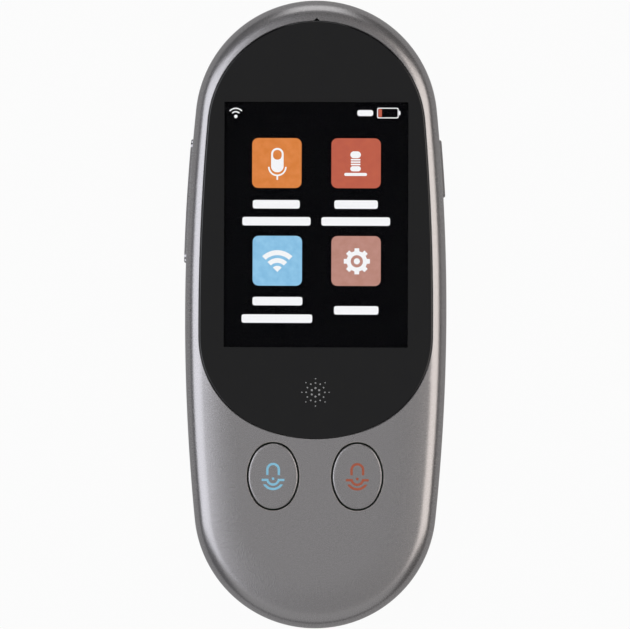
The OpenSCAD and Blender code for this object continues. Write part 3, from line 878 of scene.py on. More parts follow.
@dataclass
class Shells:
    """Front housing and rear cover as smooth closed forms.

    Attributes:
        row_z: Level of an extra row on the side wall.
        arc: How much of the front arc is drawn as rows, in degrees.
        glass_lip: Soft edge of the glass opening.
        button_lip: Soft edge of the button openings.
        window: Width, length and place along Y of the opening behind the display.
        window_r: Corner radius of that opening.
        port_r: Radius of the opening behind the sound holes.
        edge_row: Distance of the first row of fill points from the edge of the front sheet.
        row_step: Distance between the rows of fill points.
        past_crown: How far the rows go on past the start of the flat face.
        rim_rows: Distances of the fill points from an opening.
        grid: Distance between the fill points round the buttons.
        grid_y: Ends of that grid along Y.
        grid_n: Its points on each side of the middle line.
        clear_edge: Least distance of a fill point from the edge of the front sheet.
        clear_rim: Least distance of a fill point from an opening.
        volume: Ends of the volume key's slot along Y.
        power: Ends of the power key's slot along Y.
        slot_h: Height of the slots.
        slot_d: Depth of a slot's inner end, and of its outer end beyond the side.
        inlet_size: Width and height of the charging inlet's hole.
        inlet_y: Ends of that hole along Y.
        notch: Half width and length of the notch.
        notch_low: Height of the notch's floor above the seat of the glass.
        notch_top: Level beyond the front, where its cutter ends.
        overlap: How far inside the outline of the glass the notch's cutter starts.
        lip_play: Play between the lips of the two shells.
        rear_lip_h: Height of the rear cover's lip.
        recess_in: Distance of a screw from the end of the body, along a line through the arc's centre.
        recess_turn: Direction of that line, in degrees from X.
        recess_r: Radius of a screw's recess.
        recess_z: Lower and upper level of a recess's cutter.
    """

    row_z: float = 4.6
    arc: float = 67.0
    glass_lip: float = 0.05
    button_lip: float = 0.16
    window: tuple[float, float, float] = (39.52, 55.56, 15.92)
    window_r: float = 0.3
    port_r: float = 3.2
    edge_row: float = 0.35
    row_step: float = 0.5
    past_crown: float = 1.0
    rim_rows: Point2 = (0.35, 0.8)
    grid: float = 1.1
    grid_y: Point2 = (-50.0, -25.0)
    grid_n: int = 14
    clear_edge: float = 0.2
    clear_rim: float = 0.25
    volume: Point2 = (10.15, 35.25)
    power: Point2 = (23.45, 35.25)
    slot_h: float = 2.7
    slot_d: Point2 = (2.3, -1.0)
    inlet_size: Point2 = (9.24, 3.56)
    inlet_y: Point2 = (-64.5, -60.2)
    notch: Point2 = (0.8, 0.65)
    notch_low: float = 0.02
    notch_top: float = 13.5
    overlap: float = 0.05
    lip_play: float = 0.05
    rear_lip_h: float = 0.7
    recess_in: float = 7.68
    recess_turn: float = 30.0
    recess_r: float = 1.65
    recess_z: Point2 = (-0.5, 2.0)

    def front_profile(self) -> list[Point2]:
        """Depth and level from the parting line up to the start of the front sheet.

        Returns:
            Depth and level of each row.
        """
        out = [(0.0, BODY.seam), (0.0, self.row_z), (0.0, BODY.front_z)]
        for k in range(1, 13):
            a = math.radians(90 - self.arc * k / 12)
            out.append((BODY.front_r * (1 - math.sin(a)), BODY.front_z + BODY.front_r * math.cos(a)))
        return out

    def inner_profile(self) -> list[Point2]:
        """Depth and level from the parting line up to the ceiling of the inside.

        Returns:
            Depth and level of each row.
        """
        radius = BODY.front_r - BODY.wall
        rise = BODY.ledge_low - BODY.front_z
        groove_top = BODY.seam + BODY.lip_h
        out = [(BODY.lip_in, BODY.seam), (BODY.lip_in, groove_top), (BODY.wall, groove_top),
               (BODY.wall, BODY.front_z)]
        for k in range(1, 7):
            a = math.asin(rise / radius) * k / 6
            out.append((BODY.front_r - radius * math.cos(a), BODY.front_z + radius * math.sin(a)))
        return out

    def openings(self) -> list[Opening]:
        """The openings of the glass and of the two talk buttons.

        Returns:
            The glass first, then the left and the right button.
        """
        out = [Opening(GLASS.stations(), BODY.glass_gap, self.glass_lip, BODY.ledge, 0)]
        for side in (-1, 1):
            # The buttons' openings take material 1, whose lighter colour on their soft edge is a painted
            # highlight
            out.append(Opening(BUTTON.stations(side), BUTTON.gap, self.button_lip, BODY.ledge_low, 1))
        return out

    def fill(self, around: Sequence[Station], start: float, openings: Sequence[Opening]) -> list[Point2]:
        """Points that carry the curve of the front sheet.

        Args:
            around: Stations of the body.
            start: Depth of the sheet's edge.
            openings: The openings in the sheet.

        Returns:
            The points, clear of the sheet's edge and of the openings.
        """
        out = []
        d = start + self.edge_row
        while d < BODY.crown_w + self.past_crown:
            out += [s.at(d, 0.0)[:2] for s in around]
            d += self.row_step
        for opening in openings:
            for extra in self.rim_rows:
                out += opening.outline(extra)
        y = self.grid_y[0]
        while y < self.grid_y[1]:
            out += [(x * self.grid, y) for x in range(-self.grid_n, self.grid_n + 1)]
            y += self.grid
        near = [opening.outline(self.clear_rim) for opening in openings]
        return [p for p in out
                if BODY.depth(*p) > start + self.clear_edge and not any(inside(p, n) for n in near)]

    def front(self) -> bpy.types.Object:
        """The front housing.

        Returns:
            The piece.
        """
        mesh = Mesh()
        around = body_stations()
        profile = self.front_profile()
        rows = mesh.loft(rings(around, profile))
        openings = self.openings()
        rims, feet = [], []
        for opening in openings:
            rim = mesh.ring((x, y, self.height(x, y)) for x, y in opening.outline())
            wall = mesh.ring((x, y, self.height(x, y) - opening.lip) for x, y in opening.wall())
            foot = mesh.ring(level(opening.wall(), opening.floor))
            mesh.bridge(rim, wall, opening.mat)
            mesh.bridge(wall, foot)
            rims.append(rim)
            feet.append(foot)
        mesh.sheet(rows[-1], rims, self.fill(around, profile[-1][0], openings), self.height)
        # Floor of the glass seat, and the ceiling of the inside, with their openings
        w, l, cy = self.window
        passages = [round_box(w, l, self.window_r, 0.0, cy, 4), circle(self.port_r, 0.0, GLASS.sound_y, 48)]
        upper = [mesh.ring(level(passage, BODY.ledge)) for passage in passages]
        lower = [mesh.ring(level(passage, BODY.ledge_low)) for passage in passages]
        for high, low in zip(upper, lower):
            mesh.bridge(high, low)
        mesh.sheet(feet[0], upper, [], lambda x, y: BODY.ledge)
        inner = mesh.loft(rings(around, self.inner_profile()))
        mesh.bridge(rows[0], inner[0])
        mesh.sheet(inner[-1], lower + feet[1:], [], lambda x, y: BODY.ledge_low, up=False)
        obj = mesh.object("front_shell", (PAINT, PAINTED_HIGHLIGHT_EDGE))
        cut(obj, [self.slot(-1, *self.volume), self.slot(1, *self.power), self.inlet(),
                  self.notch_cutter()])
        return report(obj, "case", "housing_paint", "front_housing")
    def height(self, x: float, y: float) -> float:
        """Level of the front surface at a point."""
        return BODY.front_height(BODY.depth(x, y))

    def slot(self, side: int, y0: float, y1: float) -> bpy.types.Object:
        """Cutter of a key's slot.

        Args:
            side: -1 on the left and 1 on the right.
            y0: Its lower end along Y.
            y1: Its upper end along Y.

        Returns:
            The cutter.
        """
        mesh = Mesh()
        SideBar(side, y0, y1, *self.slot_d, self.slot_h).build(mesh)
        return mesh.object("slot_cutter", (PAINT,))

    def inlet(self) -> bpy.types.Object:
        """Cutter of the hole of the charging inlet.

        Returns:
            The cutter.
        """
        mesh = Mesh()
        w, h = self.inlet_size
        outline = []
        for k in range(48):
            a = 2 * math.pi * k / 48
            # The ends are half circles, and the two points between them stand in the middle
            sx = 1 if math.cos(a) > 1e-9 else -1 if math.cos(a) < -1e-9 else 0
            outline.append((sx * (w - h) / 2 + h / 2 * math.cos(a), h / 2 * math.sin(a)))
        rows = mesh.loft([[(x, y, BODY.mid_z + z) for x, z in outline] for y in self.inlet_y])
        mesh.cap(rows[0])
        mesh.cap(rows[1], False)
        return mesh.object("inlet_cutter", (PAINT,))

    def notch_cutter(self) -> bpy.types.Object:
        """Cutter of the three-sided notch beside the top of the glass.

        Returns:
            The cutter.
        """
        mesh = Mesh()
        w, l = self.notch
        foot = GLASS.top - self.overlap
        corners = [(-w, foot), (w, foot), (0.0, GLASS.top + l)]
        mesh.column(corners, BODY.ledge + self.notch_low, self.notch_top)
        # The cut carries this black onto the notch's walls and floor: painted shade in the deep notch
        return mesh.object("notch_cutter", (INK_AND_PAINTED_SHADE,))

    def rear_arc(self, radius: float, steps: int) -> list[Point2]:
        """Depth and level along the rounded edge of the rear cover.

        Args:
            radius: Radius about the centre of the rear edge.
            steps: Steps along it.

        Returns:
            The points from the parting line to the flat back.
        """
        start = math.asin((BODY.rear_r - BODY.seam) / radius)
        turns = [start + (math.pi / 2 - start) * k / steps for k in range(steps + 1)]
        return [(BODY.rear_r - radius * math.cos(a), BODY.rear_r - radius * math.sin(a)) for a in turns]

    def recess(self, sx: int, sy: int) -> bpy.types.Object:
        """Cutter of a screw's recess.

        Args:
            sx: -1 on the left and 1 on the right.
            sy: -1 at the lower end and 1 at the top end.

        Returns:
            The cutter.
        """
        mesh = Mesh()
        turn = math.radians(self.recess_turn)
        reach = BODY.end_r - self.recess_in
        x = sx * reach * math.cos(turn)
        y = sy * (BODY.end_y + reach * math.sin(turn))
        mesh.column(circle(self.recess_r, x, y, 48), *self.recess_z)
        return mesh.object("screw_cutter", (COVER_PAINT,))

    def rear(self) -> bpy.types.Object:
        """The rear cover with its lip and the recesses of its screws.

        Returns:
            The piece.
        """
        mesh = Mesh()
        lip_out = BODY.lip_in + self.lip_play
        lip_top = BODY.seam + self.rear_lip_h
        profile = [*reversed(self.rear_arc(BODY.rear_r, 16)), (lip_out, BODY.seam), (lip_out, lip_top),
                   (BODY.wall, lip_top), *self.rear_arc(BODY.rear_r - BODY.wall, 12)]
        rows = mesh.loft(rings(body_stations(), profile))
        mesh.cap(rows[0], False)
        mesh.cap(rows[-1])
        obj = mesh.object("rear_shell", (COVER_PAINT,))
        cut(obj, [self.recess(sx, sy) for sx in (-1, 1) for sy in (-1, 1)])
        return report(obj, "case", "cover_paint", "rear_cover")


@dataclass
class SideBar:
    """A bar that follows the side of the body.

    Attributes:
        side: -1 on the left and 1 on the right.
        y0: Lower end.
        y1: Upper end.
        inner: Depth of its inner face.
        outer: Depth of its outer face, negative where it stands out.
        h: Height.
        steps: Steps along it.
    """

    side: int
    y0: float
    y1: float
    inner: float
    outer: float
    h: float
    steps: int = 28

    def build(self, mesh: Mesh, soft: float = 0.0) -> None:
        """Adds the bar to a mesh.

        Args:
            mesh: The mesh.
            soft: Radius of the bar's outer edges, or 0 to leave them sharp.
        """
        corners = ((self.inner, -self.h / 2), (self.outer, -self.h / 2), (self.outer, self.h / 2),
                   (self.inner, self.h / 2))
        sections = []
        for k in range(self.steps + 1):
            y = self.y0 + (self.y1 - self.y0) * k / self.steps
            a = math.asin(y / BODY.side_r)
            section = []
            for d, z in corners:
                reach = BODY.side_r - d
                x = reach * math.cos(a) - BODY.side_x
                section.append((self.side * x, reach * math.sin(a), BODY.mid_z + z))
            sections.append(section)
        rows = mesh.loft(sections)
        mesh.cap(rows[0], False)
        mesh.cap(rows[-1])
        if soft <= 0:
            return
        mesh.bm.verts.ensure_lookup_table()
        outer = {v for row in rows for v in row[1:3]}
        ends = set(rows[0][1:3]) | set(rows[-1][1:3])
        edges = []
        for edge in mesh.bm.edges:
            a, b = edge.verts
            if a in outer and b in outer:
                across = abs(a.co.z - b.co.z) > 1e-6
                if not across or (a in ends and b in ends):
                    edges.append(edge)
        for row in (rows[0], rows[-1]):
            for edge in mesh.bm.edges:
                pair = set(edge.verts)
                if pair == {row[0], row[1]} or pair == {row[2], row[3]}:
                    edges.append(edge)
        bmesh.ops.bevel(mesh.bm, geom=edges, offset=soft * MM, offset_type="OFFSET", affect="EDGES",
                        segments=4, profile=0.5, material=-1)


# ---- cover glass ----

@dataclass
class CoverGlass:
    """Toughened glass with black ink behind it, and its clear window over the lit area.

    Attributes:
        edge: Radius of the rounded edge.
        window_r: Corner radius of the window.
        holes: Count, ring radius, hole radius and first angle of each ring of sound holes.
    """

    edge: float = 0.28
    window_r: float = 0.2
    holes: tuple[tuple[int, float, float, float], ...] = (
        (6, 0.85, 0.225, 30.0), (12, 1.87, 0.18, 0.0), (8, 2.72, 0.146, 0.0))

    def hole_loops(self) -> list[list[Point2]]:
        """Outline of every sound hole.

        Returns:
            The outlines, ring by ring.
        """
        out = []
        for count, r, hole, start in self.holes:
            for k in range(count):
                a = math.radians(start + 360 * k / count)
                out.append(circle(hole, r * math.cos(a), GLASS.sound_y + r * math.sin(a), 16))
        return out

    def window_loop(self) -> list[Point2]:
        """Outline of the window."""
        x0, x1, y0, y1 = GLASS.lit
        return round_box(x1 - x0, y1 - y0, self.window_r, (x0 + x1) / 2, (y0 + y1) / 2, 3)

    def border(self) -> bpy.types.Object:
        """The black border of the glass, open at the window and at the sound holes.

        Returns:
            The piece.
        """
        mesh = Mesh()
        top = BODY.glass_z + BODY.glass_t
        profile = [(0.0, BODY.glass_z), (0.0, top - self.edge), *round_edge(self.edge, top, 6)]
        rows = mesh.loft(rings(GLASS.stations(), profile))
        tops, lows = [], []
        for k, loop in enumerate([self.window_loop(), *self.hole_loops()]):
            rim = mesh.ring(level(loop, top))
            foot = mesh.ring(level(loop, BODY.glass_z))
            # Only the walls of the sound holes are plain ink
            mesh.bridge(rim, foot, 1 if k > 0 else 0)
            tops.append(rim)
            lows.append(foot)
        mesh.sheet(rows[-1], tops, [], lambda x, y: top)
        mesh.sheet(rows[0], lows, [], lambda x, y: BODY.glass_z, up=False)
        obj = mesh.object("glass_border", (BORDER_GLASS, INK_AND_PAINTED_SHADE))
        return report(obj, "case", "cover_glass", "cover_glass")

    def window(self) -> bpy.types.Object:
        """The clear window over the lit area.

        Returns:
            The piece.
        """
        mesh = Mesh()
        mesh.column(self.window_loop(), BODY.glass_z, BODY.glass_z + BODY.glass_t)
        return report(mesh.object("glass_window", (WINDOW_GLASS,)), "case", "cover_glass")

    def build(self) -> None:
        """Builds both parts of the glass."""
        self.border()
        self.window()


# Ink seen through the polished border of the glass
BORDER_GLASS = Finish("InkedCoverGlass", "0E0E0F", "0C0C0E", rough=0.06, rough_spread=0.01, grain=4.0,
                      pattern=Pattern.CLOUD, bump=0.0)
# Clear toughened glass over the display
WINDOW_GLASS = ClearGlass("CoatedGlass", index=1.12)


# ---- picture on the display ----

# Light of the display's white signs and bars
WHITE_LIGHT = Finish("DisplayWhite", "FFFFFF", "F4F4F6", grain=0.1, bump=0.0, glow=1.0)
# Light of the display's red charge bar
RED_LIGHT = Finish("DisplayRed", "E8707A", "D8606A", grain=0.1, bump=0.0, glow=1.0)


class Tile(Enum):
    """The four tiles: name, colours, centre in pixels of the photograph."""

    SPEECH = ("orange", "E38A4C", "D9803F", 276.7, 162.9)
    STUDIO = ("red", "C4654E", "BC5F4C", 356.9, 162.9)
    NETWORK = ("blue", "97CCEC", "86BEE2", 277.5, 260.8)
    SETTINGS = ("rose", "C29084", "B98678", 357.2, 260.8)


@dataclass
class Picture:
    """What the display shows: four tiles with generic signs, and plain bars in place of words.

    Attributes:
        tile_z: Level of the tiles' faces.
        sign_z: Level of the signs' faces.
        thick: Thickness of the lit layers.
        left: Column of the lit area's left edge in the photograph.
        top: Row of its upper edge.
        per_px_x: Millimetres per pixel along a row.
        per_px_y: Millimetres per pixel along a column.
        tile_half: Half of a tile's side in pixels.
        tile_r: Corner radius of a tile.
        arc_steps: Steps along an arc of a sign.
    """

    tile_z: float = 11.29
    sign_z: float = 11.34
    thick: float = 0.03
    left: float = 223.6
    top: float = 102.0
    per_px_x: float = 36.72 / 186.0
    per_px_y: float = 48.96 / 245.4
    tile_half: float = 25.0
    tile_r: float = 1.2
    arc_steps: int = 24

    def place(self, px: float, py: float) -> Point2:
        """Place on the display, in millimetres, of a pixel of the photograph."""
        return (GLASS.lit[0] + (px - self.left) * self.per_px_x,
                GLASS.lit[3] - (py - self.top) * self.per_px_y)

    def layer(self, name: str, shapes: Sequence[tuple[Sequence[Point2], Sequence[Sequence[Point2]]]],
              z: float, finish: Finish) -> None:
        """Adds flat lit shapes as one piece.

        Args:
            name: Name of the piece.
            shapes: Outline and holes of each shape.
            z: Level of their faces.
            finish: Their finish.
        """
        mesh = Mesh()
        for outline, holes in shapes:
            mesh.prism(outline, holes, z - self.thick, z)
        report(mesh.object(name, (finish,)), "case", "display_glass")

    def bar(self, x0: float, y0: float, x1: float, y1: float, r: float) -> list[Point2]:
        """A bar between two pixels of the photograph.

        Args:
            x0: Column of its left end.
            y0: Row of its upper end.
            x1: Column of its right end.
            y1: Row of its lower end.
            r: Corner radius in millimetres.

        Returns:
            The outline's points.
        """
        (ax, ay), (bx, by) = self.place(x0, y0), self.place(x1, y1)
        w, l = abs(bx - ax), abs(by - ay)
        return round_box(w, l, min(r, l / 2.01, w / 2.01), (ax + bx) / 2, (ay + by) / 2, 6)

    def arc(self, px: float, py: float, r0: float, r1: float, a0: float, a1: float) -> list[Point2]:
        """Part of a ring round a pixel of the photograph.

        Args:
            px: Column of the pixel.
            py: Row of the pixel.
            r0: Inner radius in pixels, 0 for a sector.
            r1: Outer radius in pixels.
            a0: First angle in degrees.
            a1: Last angle in degrees.

        Returns:
            The outline's points.
        """
        cx, cy = self.place(px, py)
        k = self.per_px_x
        steps = self.arc_steps
        turns = [math.radians(a0 + (a1 - a0) * j / steps) for j in range(steps + 1)]
        outer = [(cx + r1 * k * math.cos(a), cy + r1 * k * math.sin(a)) for a in turns]
        if r0 <= 0:
            return outer + [(cx, cy)]
        return outer + [(cx + r0 * k * math.cos(a), cy + r0 * k * math.sin(a)) for a in reversed(turns)]

    def gear(self, px: float, py: float, root: float, tip: float, teeth: int = 8) -> list[Point2]:
        """Outline of a gear sign.

        Args:
            px: Column of its centre in the photograph.
            py: Row of its centre.
            root: Radius between the teeth in pixels.
            tip: Radius at the teeth in pixels.
            teeth: Count of the teeth.

        Returns:
            The outline's points.
        """
        cx, cy = self.place(px, py)
        k = self.per_px_x
        out = []
        for j in range(teeth):
            mid = 360 * j / teeth + 90
            for turn, r in ((-14, root), (-10, tip), (10, tip), (14, root), (22.5, root)):
                a = math.radians(mid + turn)
                out.append((cx + r * k * math.cos(a), cy + r * k * math.sin(a)))
        return out

    def dot(self, px: float, py: float, r: float) -> list[Point2]:
        """A circle round a pixel, with its radius in pixels."""
        cx, cy = self.place(px, py)
        return circle(r * self.per_px_x, cx, cy, 32)

    def tiles(self) -> None:
        """The four coloured tiles."""
        for tile in Tile:
            name, light, dark, px, py = tile.value
            finish = Finish("Display" + name.title(), light, dark, grain=1.6, bump=0.0, glow=1.0,
                            pattern=Pattern.CLOUD)
            outline = self.bar(px - self.tile_half, py - self.tile_half, px + self.tile_half,
                               py + self.tile_half, self.tile_r)
            self.layer(f"tile_{name}", [(outline, [])], self.tile_z, finish)

    def signs(self) -> None:
        """The white signs on the tiles and the status line."""
        mx, my = 277.2, 160.0
        speech = [
            (self.bar(mx - 6.3, my - 12.2, mx + 6.3, my + 12.2, 1.2),
             [self.bar(mx - 4.4, my - 10.2, mx + 4.4, my - 0.4, 0.8)]),
            (self.arc(mx, my + 6.8, 7.8, 9.4, 180, 360), []),
            (self.bar(mx - 0.8, my + 15.6, mx + 0.8, my + 19.8, 0.1), []),
        ]
        sx, sy = 356.4, 161.0
        studio = [(self.bar(sx - 5.3, sy - 10, sx + 5.3, sy - 3.2, 1.0), [])]
        studio += [(self.bar(sx - 4.9, sy - 2.4 + 2.4 * k, sx + 4.9, sy - 0.9 + 2.4 * k, 0.12), [])
                   for k in range(3)]
        studio += [(self.bar(sx - 5.3, sy + 4.8, sx + 5.3, sy + 10, 0.9), []),
                   (self.bar(sx - 11.4, sy + 11.6, sx + 11.6, sy + 14.6, 0.3), [])]
        wx, wy = 277.5, 272.0
        waves = [(self.arc(wx, wy, 0, 6.2, 45, 135), []), (self.arc(wx, wy, 9.2, 14.0, 45, 135), []),
                 (self.arc(wx, wy, 17.0, 22.0, 46, 134), [])]
        gx, gy = 358.0, 261.1
        gear = [(self.gear(gx, gy, 10.4, 13.4), [self.dot(gx, gy, 6.2)]), (self.dot(gx, gy, 3.1), [])]
        bx, by = 235.0, 116.4
        status = [(self.dot(bx, by, 1.7), []), (self.arc(bx, by, 4.2, 5.4, 42, 138), []),
                  (self.arc(bx, by, 7.6, 8.8, 42, 138), []),
                  (self.bar(378.0, 107.2, 399.8, 117.8, 0.35), [self.bar(378.9, 108.1, 398.9, 116.9, 0.25)]),
                  (self.bar(400.0, 110.4, 401.6, 114.6, 0.12), [])]
        groups = {"sign_speech": speech, "sign_studio": studio, "sign_network": waves, "sign_settings": gear,
                  "sign_status": status}
        for name, shapes in groups.items():
            self.layer(name, shapes, self.sign_z, WHITE_LIGHT)
        charge = [(self.bar(379.2, 108.4, 382.8, 116.6, 0.15), [])]
        self.layer("sign_charge", charge, self.sign_z, RED_LIGHT)

    def bars(self) -> None:
        """Plain bars where the photograph has words."""
        lines = ((252.5, 200, 300, 208.5), (242, 217, 311, 225.5), (335, 200, 379, 208.5),
                 (322, 217, 391.5, 225.5), (252.5, 297, 303, 305.5), (241.5, 314.5, 313, 323),
                 (335, 306, 380, 314.5), (358, 109.6, 374, 115.6))
        shapes = [(self.bar(*line, 0.45), []) for line in lines]
        self.layer("label_bars", shapes, self.sign_z, WHITE_LIGHT)

    def build(self) -> None:
        """Builds the whole picture."""
        self.tiles()
        self.signs()
        self.bars()


# ---- buttons and keys ----

@dataclass
class TalkButtons:
    """Caps of the two talk buttons, with their rounded edges.

    Attributes:
        edge: Radius of the edge.
        rim: Width of the flat ring round the middle of the face.
    """

    edge: float = 0.2
    rim: float = 0.4

    def cap(self, side: int) -> bpy.types.Object:
        """The cap on one side.

        Args:
            side: -1 for the left button and 1 for the right one.

        Returns:
            The cap.
        """
        word = "left" if side < 0 else "right"
        mesh = Mesh()
        profile = [(0.0, BUTTON.low), (0.0, BUTTON.top - self.edge),
                   *round_edge(self.edge, BUTTON.top, 4), (self.edge + self.rim, BUTTON.top)]
        rows = mesh.loft(rings(BUTTON.stations(side), profile))
        mesh.cap(rows[0], False)
        mesh.cap(rows[-1])
        obj = mesh.object(f"{word}_talk_cap", (PAINT,))
        return report(obj, f"{word}_talk", "housing_paint", f"{word}_button_cap")

    def build(self) -> None:
        """Builds both caps."""
        for side in (-1, 1):
            self.cap(side)


@dataclass
class SideKeys:
    """Volume key on the left and power key on the right, with rounded outer edges.

    Attributes:
        y1: Upper end of both keys along Y.
        volume_l: Length of the volume key.
        power_l: Length of the power key.
        h: Height of the keys.
        out: How far they stand out of the side.
        depth: Depth of a flange's inner face.
        flange_t: Thickness of a flange.
        flange_out: How far a flange reaches beyond its key.
        soft: Radius of the outer edges.
        nub_r: Radius of the upright rib on which the volume key rocks.
    """

    y1: float = 35.1
    volume_l: float = 24.8
    power_l: float = 11.5
    h: float = 2.4
    out: float = 0.4
    depth: float = 2.2
    flange_t: float = 0.5
    flange_out: float = 0.5
    soft: float = 0.32
    nub_r: float = 0.35

    def key(self, name: str, side: int, length: float, nub: bool) -> bpy.types.Object:
        """One key.

        Args:
            name: Name of the piece.
            side: -1 on the left and 1 on the right.
            length: Length of the key.
            nub: Whether it has the rib on which it rocks.

        Returns:
            The key.
        """
        mesh = Mesh()
        y0 = self.y1 - length
        face = self.depth - self.flange_t
        grow = self.flange_out
        SideBar(side, y0, self.y1, face, -self.out, self.h).build(mesh, self.soft)
        SideBar(side, y0 - grow, self.y1 + grow, self.depth, face, self.h + 2 * grow).build(mesh)
        if nub:
            mid = (y0 + self.y1) / 2
            x = side * BODY.side_depth_x(mid, self.depth)
            mesh.column(circle(self.nub_r, x, mid, 24), BODY.mid_z - self.h / 2, BODY.mid_z + self.h / 2)
        return mesh.object(name, (PAINT,))

    def build(self) -> None:
        """Builds both keys."""
        report(self.key("volume_rocker", -1, self.volume_l, True), "volume", "housing_paint", "volume_key")
        report(self.key("power_bar", 1, self.power_l, False), "power", "housing_paint", "power_key")


# ---- finishes of the solids that stay as they are ----

# Plated steel of screws, switch cases and pressed plates
STEEL = Finish("PlatedSteel", "C9CACC", "A9AAAD", metallic=0.95, rough=0.3, grain=0.5,
               pattern=Pattern.BRUSHED)
# Tinned steel of the shield can
TIN = Finish("TinnedSteel", "CFD0D2", "B4B5B8", metallic=0.9, rough=0.4, grain=1.2, pattern=Pattern.CLOUD)
# Bright drawn steel of the charging inlet
SOCKET_STEEL = Finish("DrawnSteel", "D5D6D9", "BFC0C4", metallic=1.0, rough=0.16, grain=0.4,
                      pattern=Pattern.BRUSHED)
# Black foam tape
FOAM_TAPE = Finish("BlackFoamTape", "1E1E1F", "151516", rough=0.8, grain=0.12, bump=0.01)
# White tape
WHITE_TAPE = Finish("WhiteTape", "E6E5DC", "D8D7CC", rough=0.7, grain=0.4, pattern=Pattern.WOVEN)
# White light guide
LIGHT_GUIDE = Finish("WhiteLightGuide", "EDEDE8", "DDDDD6", rough=0.3, grain=0.5)
# Polyimide film of the display flex
POLYIMIDE = Finish("PolyimideFilm", "C9862E", "A86A1E", rough=0.3, grain=0.6, pattern=Pattern.TRACES,
                   coat=0.3)
# Ivory connector resin
IVORY_RESIN = Finish("IvoryResin", "E2DAC8", "D2C9B4", rough=0.5, grain=0.2)
# Clear light blue second shot of the left sign
ICON_BLUE = Finish("BlueSignResin", "8CCBE4", "7FBEDA", rough=0.3, grain=0.2, coat=0.4)
# Rust red second shot of the right sign
ICON_RED = Finish("RedSignResin", "B0573A", "A04C32", rough=0.3, grain=0.2, coat=0.4)
# Milky silicone of the button pushers
SILICONE = Finish("MilkySilicone", "DEDEDA", "CFCFCA", rough=0.6, grain=0.3)
# Black resin of plungers, chips and the contact tongue
BLACK_RESIN = Finish("BlackResin", "26262A", "1A1A1D", rough=0.55, grain=0.15)
# Black rubber of the microphone boots and the foam ring
BLACK_RUBBER = Finish("BlackRubber", "2A2A2B", "1F1F20", rough=0.75, grain=0.25, bump=0.008)
# Green solder resist over copper traces
SOLDER_RESIST = Finish("GreenSolderResist", "1F6A3C", "14502C", rough=0.35, grain=1.4, pattern=Pattern.TRACES,
                       coat=0.4, bump=0.012)
# Laminated foil of the battery pouch
FOIL = Finish("PouchFoil", "BFC1C5", "A7A9AE", metallic=0.8, rough=0.38, grain=3.0, pattern=Pattern.CLOUD,
              bump=0.03)
# Red wire insulation
RED_WIRE = Finish("RedWireInsulation", "B02222", "941A1A", rough=0.4, grain=0.3)
# Fine woven steel mesh behind the sound holes
STEEL_MESH = Finish("FineSteelMesh", "FAFAFA", "E0E0E2", metallic=1.0, rough=0.18, grain=0.06,
                    pattern=Pattern.WOVEN, bump=0.0)
# Gold plate of the microphones and the antenna strip
GOLD_PLATE = Finish("GoldPlate", "D8B25C", "C09A48", metallic=1.0, rough=0.28, grain=0.5)
# Clear optical adhesive between cell and glass
ADHESIVE = ClearGlass("OpticalAdhesive", bends=False, tint="FAFBFC")

NODE_FINISHES: dict[str, Finish | ClearGlass] = {
    "housing_screws": STEEL, "glass_tape": FOAM_TAPE, "display_bond": ADHESIVE, "display_panel": CELL,
    "backlight": LIGHT_GUIDE, "display_flex": POLYIMIDE, "display_connector": IVORY_RESIN,
    "display_support": STEEL, "support_screws": STEEL, "left_button_icon": ICON_BLUE,
    "right_button_icon": ICON_RED, "left_button_pusher": SILICONE, "right_button_pusher": SILICONE,
    "left_switch_plunger": BLACK_RESIN, "right_switch_plunger": BLACK_RESIN,
    "power_switch_plunger": BLACK_RESIN, "left_switch": STEEL, "right_switch": STEEL,
    "volume_switches": STEEL, "power_switch": STEEL, "main_board": SOLDER_RESIST, "shield_can": TIN,
    "processor_chip": BLACK_RESIN, "memory_chip": BLACK_RESIN, "power_chip": BLACK_RESIN,
    "radio_chip": BLACK_RESIN, "battery": FOIL, "battery_tape": WHITE_TAPE,
    "battery_leads": RED_WIRE, "battery_header": IVORY_RESIN, "speaker": BLACK_RESIN,
    "speaker_gasket": BLACK_RUBBER, "speaker_mesh": STEEL_MESH, "charge_socket": SOCKET_STEEL,
    "charge_tongue": BLACK_RESIN, "lower_microphone": GOLD_PLATE, "upper_microphone": GOLD_PLATE,
    "lower_microphone_boot": BLACK_RUBBER, "upper_microphone_boot": BLACK_RUBBER, "antenna": GOLD_PLATE,
}


def dress_nodes() -> None:
    """Gives every solid that stays its finish."""
    for node, finish in NODE_FINISHES.items():
        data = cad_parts[node].data
        data.materials.clear()
        data.materials.append(finish.material())
        LOG.info("%s: %s", node, finish.name)


# ---- studio ----

